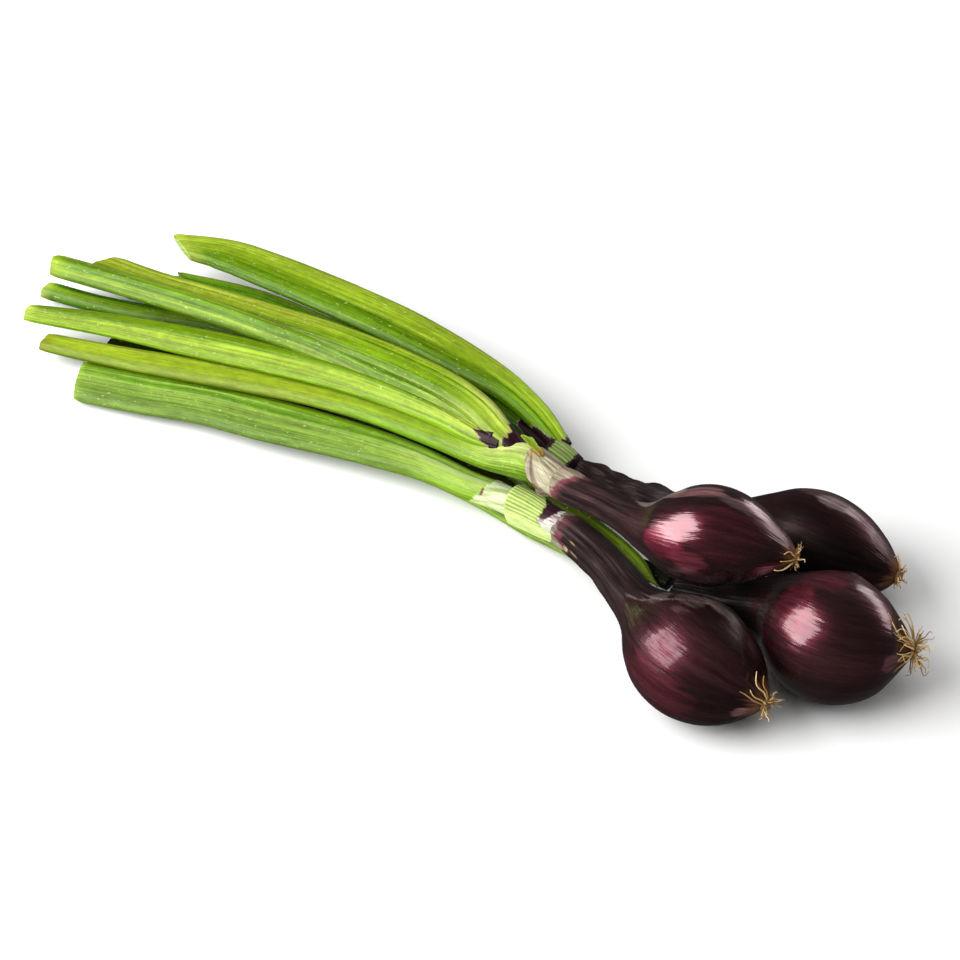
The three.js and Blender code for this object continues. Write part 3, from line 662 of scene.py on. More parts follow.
def build_bulb(key):
    onion, look = ONIONS[key], {**BULB_DEFAULTS, **BULB_LOOKS[key]}
    seed = look["seed"]
    path = Path(onion["spine"])
    end = onion["profile"][-1][0]
    outer = np.linspace(0, end, int(end / BULB_STEP) + 1)
    inner = end - np.array([0.0, 1.3, TORN_INSIDE])
    distance = np.concatenate([outer, inner])[:, None]
    is_inner = np.arange(len(distance))[:, None] >= len(outer)
    angle = (np.arange(BULB_SIDES) * TURN / BULB_SIDES)[None]
    neck = ramp(distance, onion["neckFrom"], onion["neckFrom"] + NECK_LENGTH)
    folds = np.sin(0.36 * distance + 2 * angle) + 0.7 * np.sin(0.61 * distance - 3 * angle)
    ridges = NECK_RIDGE_DEPTH * np.cos(NECK_RIDGES * angle + 0.03 * distance)
    relief = ridges + onion["wrinkle"] * folds
    narrow = 0.5 * streaks(angle, distance, 64, 16, seed + 10)
    fine = streaks(angle, distance, 30, 26, seed + 9) + narrow - 0.75
    crumple = look["crumple"] * (2 * rough(angle, distance, 20, 9, seed + 13) - 1)
    girth = 1 + neck * (relief + FINE_WRINKLE * fine + crumple)
    swell = BULB_SWELL[0] * (streaks(angle, distance, 9, 30, seed + 11) - 0.5)
    swell = swell + BULB_SWELL[1] * (streaks(angle, distance, 40, 40, seed + 12) - 0.5)
    radius = profile_radius(onion["profile"], distance) * (girth + (1 - neck) * swell)
    radius = radius - SKIN_THICKNESS * is_inner - look["taper"] * ramp(distance, end - 4, end)
    torn = look["tear"] * (2 * rough(angle, 0 * angle, 13, 9, seed + 14) - 1)
    forward = torn * ramp(distance, end - 3 * BULB_STEP - 2.5, end)
    forward = forward * np.where(is_inner, ramp(distance, end - TORN_INSIDE, end), 1)
    points = path.place(distance, radius * np.cos(angle), radius * np.sin(angle), forward)
    tint, gloss = bulb_colours(onion, look, distance + 0 * angle, angle + 0 * distance)
    if "end_line" in look:
        tint, gloss = neck_end_colours(look, tint, gloss, distance, angle, forward)
    skin = Skin()
    skin.add(points, tint, gloss, grain_of(angle, distance))
    skin.build(f"{key}_onion_skin", SKIN, "onion_skin", f"{key}_onion_bulb")


# ---- Leaves ----

LEAF_SIDES = 96
LEAF_STEP = 1.0
BASE_STEP = 0.35  # distance between rings where torn edges cross the base
BASE_LENGTH = 19.0
WALL = 0.8
THINNEST = 0.35
LAST_RINGS = (0.75, 0.5, 0.25, 0.1, 0.0)  # distances from the cut end
HOLLOW_RINGS = (0.0, 0.02, 0.06, 0.14, 0.28, 0.5, 0.75, 1.0)  # parts of the hollow's depth
END_ROUNDING = 3.2
END_PINCH = 0.08
POINT_PINCH = 0.85  # how much of its girth a pointed base loses
FIRST_LEAF_SEED = 101

# Painted shade: how bright a leaf's colour is from the side nearest the camera round to the back. It is
# darkest on the near side, which the key lamp lights most, and brighter over the top and at the back.
LEAF_PAINTED_SHADE = {-40: 0.49, 30: 0.485, 52: 0.51, 75: 0.59, 95: 0.7, 130: 0.79, 180: 0.75}

# "body", "near" and "base" are the colours round a leaf along its length, near its base and at its
# base, with the distances over which one turns into the next. "open" is how deep the hollow at the
# cut end goes, "roof" how far the top is peaked, "pointed" how long a pointed base is, and "blue"
# how much blue the colours keep. A line along the leaf has its degrees, width, colour and share of
# it. "skin" is where the torn dark skin at the base ends, and "white" where the white skin does,
# which has a "notch" and a "sliver" of dark skin in it.
LEAF_DEFAULTS = {
    "slot": "leaf", "veins": 0.4, "blue": 0.5, "open": 18, "roof": 0, "pointed": 0,
    "base_veins": 0.6, "tip_length": 4.0, "lines": [],
}
LEAF_LOOKS = {
    "front_onion_wide_leaf": {
        "blue": 0.95, "open": 24, "base_veins": 0.2, "tip": "a9cf4e", "tip_length": 1.6,
        "body": {
            -60: "5f8a2a", -20: "7fa63a", 20: "8cb04c", 47: "86ac40", 79: "96b75c", 98: "8fb44a",
            107: "6a981c", 122: "76a41a", 135: "8bb52c", 180: "6f9a2e",
        },
        "base": {
            -60: "7fae2c", -10: "9cd024", 30: "b4e04a", 68: "c0e06c", 90: "cfe496", 110: "a5cc4c",
            130: "8fbe2c", 180: "7aa52c",
        },
        "base_span": (22, 60),
        "lines": [
            (102, 5, "47800a", 0.8), (112, 4, "bcd884", 0.5), (92, 4, "b4d08c", 0.5),
            (20, 8, "5f8c2c", 0.5),
        ],
        "white": {-90: 17.5, -12: 15.8, 32: 13.8, 71: 12.3, 110: 11, 140: 10.5, 200: 13},
        "notch": ((52, 12.7), (27, 0.6)),
        "sliver": ((148, 6), (22, 4)),
    },
    "front_onion_low_leaf": {
        "open": 4, "tip": "a5cc4c",
        "body": {-40: "9cc850", 10: "a6cc5c", 30: "94c044", 60: "8ab838", 150: "5f8f24"},
    },
    "top_onion_pale_leaf": {
        "slot": "pale_leaf", "veins": 0.16, "blue": 0.6, "open": 4, "base_veins": 0.5, "tip": "9c9a30",
        "tip_length": 5,
        "body": {
            -40: "6f8a1c", 0: "8ca52a", 20: "9db638", 60: "a6c03f", 100: "a0b83c", 125: "8a9f30",
            180: "7d9430",
        },
        "near": {
            -40: "5f8c0c", -10: "76a80c", 8: "84c014", 28: "90c424", 42: "93b83a", 90: "9bb848",
            120: "a9bd50", 170: "7fa030",
        },
        "near_span": (55, 90),
        "base": {
            -40: "5f8c0c", -10: "7fb010", 12: "96cc24", 40: "b6e052", 60: "c4e477", 85: "cfe09a",
            110: "d3deae", 150: "b8cc80",
        },
        "base_span": (14, 34),
        "lines": [(18, 4, "c0d070", 0.5), (112, 5, "c4d07c", 0.4)],
    },
    "top_onion_back_leaf": {
        "blue": 0.42, "base_veins": 0.35, "tip": "a5ac44", "tip_length": 5,
        "body": {
            -20: "5f8420", 30: "6f9424", 60: "86a43c", 90: "9cb04c", 103: "a5b759", 120: "aebc68",
            140: "8fae4c", 180: "7d9a40",
        },
        "near": {
            -20: "5f8c14", 30: "6f9a1c", 60: "86b02a", 90: "8cb034", 104: "68901c", 112: "8cac38",
            130: "a3bb50", 180: "7d9a40",
        },
        "near_span": (60, 100),
        # Painted highlight: the cream "cfe08c" stop at 30 degrees of the base paints the light along the
        # leaf's near edge.
        "base": {
            -10: "9cc43c", 20: "b4d45c", 30: "cfe08c", 40: "b8dc50", 80: "c4e068", 110: "c0d870",
            124: "c8d09c", 150: "a0b060",
        },
        "base_span": (12, 38),
        # Painted highlight: the pale "c4dc74" line at 26 degrees paints the light along the leaf's near
        # edge.
        "lines": [
            (26, 4, "c4dc74", 0.7), (104, 4, "4f7a10", 0.7), (95, 4, "b8cc74", 0.5), (60, 8, "6c9c14", 0.5),
        ],
        "skin": {-20: 2, 20: 3, 30: 5.4, 40: 6.2, 80: 6.2, 98: 6.4, 112: 7.2, 135: 9.5, 180: 9},
    },
    "top_onion_front_leaf": {
        "blue": 0.3, "roof": 0.5, "base_veins": 0.35, "tip": "c8e468", "tip_length": 4.5,
        "body": {
            -30: "85b81c", 0: "98cc28", 30: "a8cb3a", 56: "aed048", 68: "b4d655", 80: "88b030",
            95: "7fa12d", 120: "86a83c", 150: "6c9430",
        },
        "base": {-30: "8fc41c", 0: "a0d02c", 30: "abd644", 60: "b8d666", 90: "bcd072", 130: "a3c64a"},
        "base_span": (14, 40),
        # Painted highlight: the pale "d0ec80" line at 73 degrees paints the light along the leaf's ridge.
        "lines": [(73, 4, "d0ec80", 0.6), (84, 5, "5f880c", 0.7), (40, 6, "8cbc14", 0.5)],
        "skin": {-20: 2, 0: 2.4, 22: 3.4, 33: 5.0, 52: 6.4, 66: 7.2, 78: 10.2, 88: 7.4, 120: 6.5, 180: 5},
    },
    "top_onion_middle_leaf": {
        "veins": 0.55, "blue": 0.36, "roof": 0.5, "tip": "b0d030", "tip_length": 9,
        # Painted highlight: the pale body stops from 40 to 54 degrees and the pale "c4e488" line at 46
        # degrees paint the light along the leaf's ridge.
        "body": {
            -30: "6f9c1c", 10: "84b022", 40: "8eb440", 54: "98be4c", 63: "79a220", 90: "72a01c",
            106: "84a840", 120: "9cb868", 150: "7f9c40",
        },
        "base": {-30: "7fb01c", 30: "a4d03c", 80: "c4dc80", 130: "b0c870"},
        "base_span": (14, 40),
        "lines": [(46, 4, "c4e488", 0.6), (66, 5, "5c8c0c", 0.6), (112, 5, "b4cc88", 0.5)],
        "skin": {-20: 4, 60: 6, 90: 8, 120: 7, 180: 5},
    },
    "right_onion_upper_leaf": {
        "slot": "deep_leaf", "pointed": 11, "base_veins": 0.4, "tip": "c8e080", "tip_length": 4.5,
        "body": {
            -30: "4f8418", 20: "6c9c28", 60: "86b048", 90: "86ac2c", 108: "5c9414", 135: "427c14",
            180: "3c7018",
        },
        # Painted shade: the dark olive "near" colours are the leaf's duller colour, darkened for the shade
        # it lies in under the necks.
        "near": {-30: "4a5616", 40: "5e701e", 70: "6c8428", 110: "465a18"},
        "near_span": (60, 120),
        "base": {-30: "78901c", 40: "9cbc2c", 70: "b0d03c", 110: "7c9c28"},
        "base_span": (6, 34),
        "lines": [(66, 5, "a0c870", 0.5), (112, 6, "35700c", 0.5)],
    },
    "right_onion_lower_leaf": {
        "slot": "deep_leaf", "veins": 0.3, "open": 4, "tip": "3a2f14", "tip_length": 9,
        # Painted shade: the body and base colours are darkened nearly to black for the shadow this leaf
        # lies in under the others.
        "body": {-30: "24300c", 60: "34420f", 120: "2c3a10"},
        "base": {0: "1c2010"},
        "base_span": (8, 26),
    },
    "back_onion_low_leaf": {
        "slot": "pale_leaf", "open": 4, "tip": "a8b060",
        "body": {-30: "5f7c24", 40: "86a040", 90: "9cac5c", 150: "7d9440"},
    },
    "back_onion_middle_leaf": {
        "slot": "deep_leaf", "veins": 0.5, "blue": 0.4, "tip": "5c7c34",
        # Partly painted shade: the dark greens are the leaf's own colour, darkened for the shade it lies in
        # under the wide leaf and the top onion's back leaf.
        "body": {-30: "305810", 40: "447814", 75: "649428", 95: "54881c", 120: "7ca03c", 160: "447014"},
        "skin": {-20: 12, 27: 12.5, 40: 15.5, 62: 17.5, 110: 17, 180: 12},
    },
    "back_onion_wide_leaf": {
        "blue": 0.36, "open": 1.2, "base_veins": 0.4, "tip": "b4c870", "tip_length": 9,
        "body": {
            -30: "5f9410", 20: "6a9c10", 45: "6f9c14", 62: "729a1a", 78: "7fa322", 92: "8fae40",
            115: "9cb858", 135: "a7c059", 165: "7fa03c",
        },
        "base": {
            -20: "6fa010", 40: "7fb814", 70: "98cc20", 80: "b4d848", 86: "98cc20", 100: "a4c83c",
            108: "c0dc68", 116: "9cc838", 132: "b8d85c", 160: "8ab030",
        },
        "base_span": (14, 46),
        # Painted highlight: the pale "c2d88a" line at 82 degrees paints the light along the middle of the
        # leaf.
        "lines": [(82, 4, "c2d88a", 0.6), (70, 7, "4f8208", 0.7), (30, 6, "a4cc40", 0.5)],
        "skin": {-40: 12, 20: 10.5, 30: 9, 38: 5.5, 50: 3.4, 90: 1.6, 110: 0.8, 150: 2, 200: 6},
    },
}


def leaf_colours(look, seed, along, to_end, angle):
    """Colour, gloss, vein strength and relief of a leaf, with its paler base and torn skin."""
    sway = angle + 0.10 * (noise(along / 26, 0 * along, seed + 3) - 0.5)
    tint = colour_round(look["body"], sway)
    veins = np.full(along.shape, look["veins"])
    wander = along + 16 * (streaks(angle, along, 22, 60, seed + 4) - 0.5)
    if "near" in look:
        tint = mix(colour_round(look["near"], sway), tint, ramp(wander, *look["near_span"]))
    if "base" in look:
        away = ramp(wander, *look["base_span"])
        tint = mix(colour_round(look["base"], angle), tint, away)
        veins = veins * away + look["base_veins"] * (1 - away)
    for k, (degrees, width, colour, share) in enumerate(look["lines"]):
        off = np.degrees(around(sway, math.radians(degrees))) / width
        broken = ramp(streaks(angle, along, 30, 22, seed + 40 + k), 0.15, 0.6)
        tint = mix(tint, colour, share * np.exp(-(off**2)) * broken)
    bands = streaks(angle, along, 22, 60, seed) * 0.6 + streaks(angle, along, 9, 40, seed + 1) * 0.4
    cloud = rough(angle, along, 7, 22, seed + 2)
    tip = 1 - ramp(to_end, 0.3, look["tip_length"])
    tint = mix(tint, look["tip"], 0.75 * tip)
    # The colour takes the painted shade round the leaf, times random streaks and clouds of tone.
    shade = level_round(LEAF_PAINTED_SHADE, angle) * (0.86 + 0.28 * bands) * (0.86 + 0.28 * cloud)
    tint = tint * shade[..., None]
    tint[..., 2] *= 0.75 * look["blue"] + 0.2 * (1 - ramp(along, 12, 50))
    raised = 0 * along
    if "white" in look:
        flow = angle + 0.06 * along
        edge = torn_edge(look["white"], angle, 0.7, seed + 5)
        white = 1 - ramp(along, edge - 0.1, edge + 0.25)
        pale = mix("c0c79e", "94a866", ramp(streaks(flow, along, 36, 14, seed + 6), 0.4, 0.7))
        lower = ramp(np.degrees(around(angle, 0)), 25, -35)
        tint = mix(tint, mix(pale, "b4cc74", 0.7 * lower), white)
        notch = patch(angle, along, *look["notch"], seed + 7)
        tint = mix(tint, "6a3426", notch)
        tint = mix(tint, "2c1018", patch(angle, along, *look["sliver"], seed + 8))
        raised = 0.3 * white * (1 - notch)
    if "skin" in look:
        edge = torn_edge(look["skin"], angle, 1.5, seed + 9)
        dark = 1 - ramp(along, edge - 0.15, edge + 0.2)
        frayed = 2.4 * streaks(angle, 0 * along, 90, 9, seed + 10)
        tint = mix(tint, "a07c74", 0.7 * (1 - ramp(along, edge - 0.1, edge + frayed)))
        tint = mix(tint, mix("120509", "2e0f18", rough(angle, along, 30, 12, seed + 11)), dark)
        raised = 0.2 * dark
        veins = veins * (1 - dark)
    gloss = 0.3 + 0.5 * (1 - cloud)
    return tint, gloss, veins, raised


def build_leaf(name, seed):
    groove, slant, route = LEAVES[name]
    look = {**LEAF_DEFAULTS, **LEAF_LOOKS[name]}
    path = Path([row[:3] for row in route])
    girth = Path([(*row[3:], 0) for row in route], uniform=True)
    length = path.length
    near = np.arange(0, BASE_LENGTH, BASE_STEP)
    far = np.linspace(BASE_LENGTH, length, int((length - BASE_LENGTH) / LEAF_STEP) + 1)
    outer = np.concatenate([near, far[:-1], length - np.array(LAST_RINGS)])
    inner = length - look["open"] * np.array(HOLLOW_RINGS)
    distance = np.concatenate([outer, inner])[:, None]
    is_inner = np.arange(len(distance))[:, None] >= len(outer)
    angle = (np.arange(LEAF_SIDES) * TURN / LEAF_SIDES - TURN / 4)[None]
    size = girth.at(path.t_of(distance[:, 0]))
    width, thickness = size[:, :1], size[:, 1:2]
    to_end = length - distance
    closing = 1 - END_PINCH * (1 - ramp(to_end, 0, END_ROUNDING)) ** 2
    closing = closing * (1 - POINT_PINCH * (1 - ramp(distance, -1, look["pointed"])))
    wobble = 1 + 0.035 * (noise(distance / 23, 0 * distance, seed + 20) - 0.5) * 2
    width = width * wobble * closing - WALL * is_inner
    thickness = np.maximum(thickness * closing - WALL * is_inner, THINNEST)
    c, s = np.cos(angle), np.sin(angle)
    crease = np.where(s > 0, 1 - groove * (1 - c * c) ** 4, 1)
    roof = look["roof"] * ramp(distance, 10, 40)
    upper = np.where(s > 0, (1 - roof) * s + roof * 1.06 * (1 - np.abs(c)) ** 0.9, s)
    around_it, along = np.broadcast_arrays(angle, distance)
    tint, gloss, veins, raised = leaf_colours(look, seed, along, length - along, around_it)
    ribs = 0.07 * (streaks(angle, distance, 24, 90, seed + 21) - 0.5)
    dents = 0.14 * (rough(angle, distance, 5, 28, seed + 23) - 0.5)
    swell = np.where(is_inner, 0, ribs * 2 + dents * 2 + raised)
    across = width * c + swell * c
    above = thickness * upper * crease + swell * s
    shear = -slant * across * (1 - ramp(to_end, 0, 13 + 4 * abs(slant)))
    ragged = 0.35 * (noise(angle / TURN * 16, 0 * angle, seed + 24, 16) - 0.5)
    ragged = ragged * (1 - ramp(to_end, 0, 2))
    points = path.place(distance, across, above, shear + ragged)
    # The inside of the hollow is pale at the cut and darkened deeper in: painted shade in the hollow.
    flesh = mix("a3b862", "55702a", ramp(length - along, 0.5, 9))
    tint = mix(tint, flesh, 1.0 * is_inner)
    mean_width = np.array([row[3] for row in route]).mean()
    skin = Skin()
    skin.add(points, tint, gloss, grain_of(angle, distance, mean_width), veins)
    skin.build(f"{name}_blade", LEAF, look["slot"], name)


# ---- Sheaths ----

SHEATH_SIDES = 220
SHEATH_STEP = 0.25
SHEATH_INSIDE = (0.0, 0.4, 1.2, 3.0)  # distances from the open end of the rings inside it

# Where torn edges lie, as {degrees: distance}. The papery rim's run on from that sheath's end, and
# the back sheath is dark past its edge and before its low edge.
COLLAR_EDGE = {
    -60: -1, 0: -0.5, 8: 0.9, 21: 3.6, 28: 4.6, 46: 6.2, 58: 5.7, 94: 5.7, 110: 7.2, 128: 8.7,
    150: 9.5, 200: 6, 260: 0,
}
COLLAR_DARK = {40: 5.0, 52: 3.8, 64: 2.9, 95: 1.9, 128: 0.6, 160: 1.5}
PAPERY_RIM = {
    -60: -5.5, 0: -5.0, 16: -2, 34: -0.3, 60: 1.8, 77: 2.8, 112: 3, 160: 1.5, 200: -1, 260: -4.5,
}
BACK_EDGE = {0: 7, 60: 8.3, 90: 8.6, 130: 9.5, 180: 8}
BACK_LOW_EDGE = {0: 2, 85: 0.4, 130: 1.5, 200: 2}
FAN_ROOT = (107, 13.0)  # degrees and distance from which the papery sheath's creases fan out
FAN_RADIUS = 5.7

# A torn yellow-green tongue lies over the papery sheath's rim.
FLAP = [(29.8, 3.2, 30.8), (27.8, 3.9, 31.6), (25.3, 4.9, 32.2), (22.9, 5.8, 32.6), (20.9, 6.4, 32.6)]
FLAP_HALF_WIDTH = {0: 0.5, 0.2: 1.0, 0.45: 1.25, 0.75: 1.15, 0.93: 0.6, 1: 0.1}
FLAP_RINGS = 30
FLAP_SIDES = 40


def sheath_grid(route):
    """Distances, angles, radii and an inner flag for a sheath that is open at its outer end."""
    path = Path([row[:3] for row in route])
    girth = Path([(*row[3:], 0) for row in route], uniform=True)
    outer = np.linspace(0, path.length, int(path.length / SHEATH_STEP) + 1)
    distance = np.concatenate([outer, path.length - np.array(SHEATH_INSIDE)])[:, None]
    angle = (np.arange(SHEATH_SIDES) * TURN / SHEATH_SIDES)[None]
    is_inner = np.arange(len(distance))[:, None] >= len(outer)
    size = girth.at(path.t_of(distance[:, 0]))
    d, a = np.broadcast_arrays(distance, angle)
    return path, d, a, size[:, :1], size[:, 1:2], is_inner


def sheath_skin(grid, lift, forward, tint, gloss, veins):
    """The skin of a sheath, with its radii raised by lift and its points pushed forward."""
    path, d, a, width, thickness, _ = grid
    points = path.place(d[:, 0], (width + lift) * np.cos(a), (thickness + lift) * np.sin(a), forward)
    skin = Skin()
    skin.add(points, tint, gloss, grain_of(a, d, 4), veins)
    return skin


def stripes(angle, along, count, seed):
    """Crisp stripes that run along a piece, uneven in width and strength."""
    shift = 0.5 * (noise(angle / TURN * 9, along / 20, seed, 9) - 0.5)
    wave = np.cos(count * angle + TURN * shift)
    return ramp(wave, -0.5, 0.6) * (0.55 + 0.45 * streaks(angle, along, count, 40, seed + 1))


def build_front_collar():
    grid = path, d, a, _, _, is_inner = sheath_grid(SHEATHS["front_onion_collar"])
    end = path.length
    jag = torn_edge(COLLAR_EDGE, a, 0.55, 71)
    green = ramp(d, jag - 0.1, jag + 0.2)
    lines = stripes(a, d, 34, 72)
    low_side = ramp(np.degrees(around(a, 0)), 38, 12)
    collar = mix("bccb7a", "6c9020", lines * (1 - 0.5 * low_side))
    collar = mix(collar, "bccf86", 0.5 * low_side)
    collar = mix(collar, "c3d488", 0.3 * ramp(d, end - 0.6, end - 0.2))
    dark_edge = torn_edge(COLLAR_DARK, a, 0.7, 73)
    past_top = np.degrees(around(a, math.radians(100)))
    dark = ramp(d, dark_edge - 0.3, dark_edge + 0.3)
    dark = dark * ramp(past_top, 62, 50) * ramp(past_top, -56, -44)
    speckle = ramp(rough(a, d, 70, 1.6, 74), 0.5, 0.62) * ramp(np.sin(a), 0.5, 0.8)
    papery = mix("cfc8bc", "5a4450", 0.75 * speckle)
    papery = mix(papery, "8f6688", 0.6 * ramp(rough(a, d, 26, 5, 75), 0.52, 0.68))
    papery = mix(papery, "c3cf9c", low_side)
    papery = mix(papery, mix("1d0a12", "3c1826", rough(a, d, 30, 8, 76)), dark)
    tint = mix(papery, collar, green)
    roll = 0.3 * green - 0.12 * (1 - ramp(end - d, 0, 0.5))
    crumple = 0.3 * (rough(a, d, 14, 8, 77) - 0.5) * (1 - green)
    lift = roll - 0.10 * lines * green + crumple - 0.5 * is_inner
    oblique = (1.6 * np.cos(a - 1.66) - 0.3) * ramp(d, end - 6, end)
    skin = sheath_skin(grid, lift, oblique, tint, 0.55, 0.2)
    skin.build("front_onion_striped_collar", PAPER, "striped_sheath", "front_onion_collar")


def add_flap(skin):
    flap = Path(FLAP)
    share = np.linspace(0, 1, FLAP_RINGS)[:, None]
    turned = (np.arange(FLAP_SIDES) * TURN / FLAP_SIDES)[None]
    half_width = np.interp(share, list(FLAP_HALF_WIDTH), list(FLAP_HALF_WIDTH.values()))
    half_width = half_width * (1 + 0.5 * (noise(share * 9, turned, 89) - 0.5))
    edge = ramp(np.abs(np.cos(turned)) + 0 * share, 0.8, 0.99)
    curl = 0.3 * half_width * np.cos(turned) ** 2 + 0.35 * (noise(share * 7, turned, 90) - 0.5)
    across, above = half_width * np.cos(turned), 0.2 * np.sin(turned) + curl
    placed = flap.place(share[:, 0] * flap.length, across, above)
    shade = mix("9db02c", "56780f", rough(turned, share * 6, 12, 4, 88))
    shade = mix("8a6a24", shade, ramp(share + 0 * turned, 0.1, 0.4))
    skin.add(placed, mix(shade, "b4ab62", 0.7 * edge), 0.4, grain_of(turned, share * 6), 0.1)


def build_papery_sheath():
    grid = path, d, a, _, _, is_inner = sheath_grid(SHEATHS["top_onion_papery_sheath"])
    end = path.length
    oblique = torn_edge(PAPERY_RIM, a, 0.35, 86) * ramp(d, end - 9, end)
    sideways = around(a, math.radians(FAN_ROOT[0])) * FAN_RADIUS
    down = FAN_ROOT[1] - d - oblique
    fan = np.arctan2(sideways, down + 0.5)
    creases = ramp(noise(fan * 14 + 40, 0 * fan + 3, 81), 0.45, 0.75)
    creases = creases * (0.5 + 0.5 * rough(a, d, 16, 6, 82))
    tint = mix("a89e8a", "5c4a32", 0.85 * creases)
    tint = mix(tint, "b0b088", 0.4 * ramp(noise(fan * 7 + 90, 0 * fan + 8, 83), 0.55, 0.75))
    hair_lines = ramp(noise(fan * 44 + 10, down / 5 + 30, 85), 0.55, 0.85)
    tint = mix(tint, "6e5a44", 0.45 * hair_lines)
    spots = ramp(rough(a, d, 30, 2.4, 84), 0.56, 0.66) * ramp(d, end - 2.6, end - 0.8)
    tint = mix(tint, "6f4630", 0.85 * spots)
    near_root = np.exp(-((sideways + 1.2) ** 2 + (down - 1.5) ** 2) / 3.5)
    tint = mix(tint, "9a7c24", 0.75 * near_root)
    lift = -0.16 * creases + 0.25 * (rough(a, d, 10, 6, 87) - 0.5) - 0.4 * is_inner
    lift = lift + 0.45 * ramp(d, end - 3, end) * (1 - is_inner)
    skin = sheath_skin(grid, lift, oblique, tint, 0.4, 0.2)
    add_flap(skin)
    skin.build("top_onion_papery_skin", PAPER, "papery_sheath", "top_onion_papery_sheath")


def build_back_sheath():
    grid = _, d, a, _, _, is_inner = sheath_grid(SHEATHS["back_onion_sheath"])
    lines = stripes(a, d, 26, 91)
    edge = torn_edge(BACK_EDGE, a, 0.8, 92)
    low_edge = torn_edge(BACK_LOW_EDGE, a, 0.7, 93)
    dark = np.maximum(ramp(d, edge - 0.2, edge + 0.3), 1 - ramp(d, low_edge - 0.2, low_edge + 0.3))
    tint = mix("8c9a5a", "44641c", 0.85 * lines)
    tint = mix(tint, mix("170a10", "351822", rough(a, d, 26, 8, 94)), dark)
    lift = 0.3 * (rough(a, d, 14, 8, 95) - 0.5) - 0.08 * lines - 0.4 * is_inner
    skin = sheath_skin(grid, lift, 0 * a, tint, 0.45, 0.3)
    skin.build("back_onion_striped_sheath", PAPER, "striped_sheath", "back_onion_sheath")


# ---- Roots ----

ROOT_SIDES = 7
ROOT_RINGS = 12
PLATE_RADIUS = 2.5
PLATE_SIDES = 24
PLATE_RINGS = 8
STRAND_SHADES = ["d8b476", "b88e50", "e6cc94", "8e6834"]
STRAND_SWAY = {0: 0, 0.3: 0.2, 0.6: 0.8, 0.85: 1.0, 1: 0.5}  # part of its curl along a strand
LAID_STEPS = 7

# Strands stand out from the plate within "spread" degrees, bent sideways by "curl". Those in "laid" lie
# back over the skin: each has its degrees round the onion, its reach and how far it lifts off.
ROOT_LOOKS = {
    "front": {
        "seed": 11, "strands": 18, "length": 4.6, "spread": 85, "curl": 0.9,
        "laid": [(142, 11, 0), (95, 4.5, 3.5), (120, 3.5, 1.5), (80, 3, 2)],
    },
    "top": {
        "seed": 23, "strands": 16, "length": 3.8, "spread": 90, "curl": 0.9,
        "laid": [(150, 3.5, 1.5), (175, 4.5, 1), (130, 3, 1)],
    },
    "back": {
        "seed": 37, "strands": 16, "length": 3.6, "spread": 90, "curl": 0.9,
        "laid": [(90, 2, 3), (60, 2, 1.5)],
    },
    "right": {
        "seed": 51, "strands": 40, "length": 6.8, "spread": 85, "curl": 1.6,
        "laid": [
            (96, 9.5, 0.4), (104, 8, 0.8), (112, 8.6, 0.6), (120, 7, 0.6), (128, 7.6, 0.4), (138, 6, 0.8),
            (146, 7, 0.5), (158, 5.5, 0.6), (90, 6, 2.5), (80, 4.5, 4), (100, 5, 3), (116, 5, 2.4),
            (132, 4.5, 2), (108, 6.5, 1.6), (70, 4, 3.5), (170, 5, 1), (124, 3.5, 3), (142, 3.5, 2.5),
        ],
    },
}


def strand(skin, points, radius, tip, shade):
    path = Path(points)
    u = np.linspace(0, 1, ROOT_RINGS)[:, None]
    angle = (np.arange(ROOT_SIDES) * TURN / ROOT_SIDES)[None]
    r = radius * (1 - u) + tip * u
    r = r * (1 + 0.12 * np.sin(9 * u + radius * 40))
    placed = path.place(u * path.length, r * np.cos(angle), r * np.sin(angle))
    tint = rgb(STRAND_SHADES[shade]) * (0.75 + 0.5 * u)[..., None]
    skin.add(placed, tint, 0.3, grain_of(angle, u * path.length))


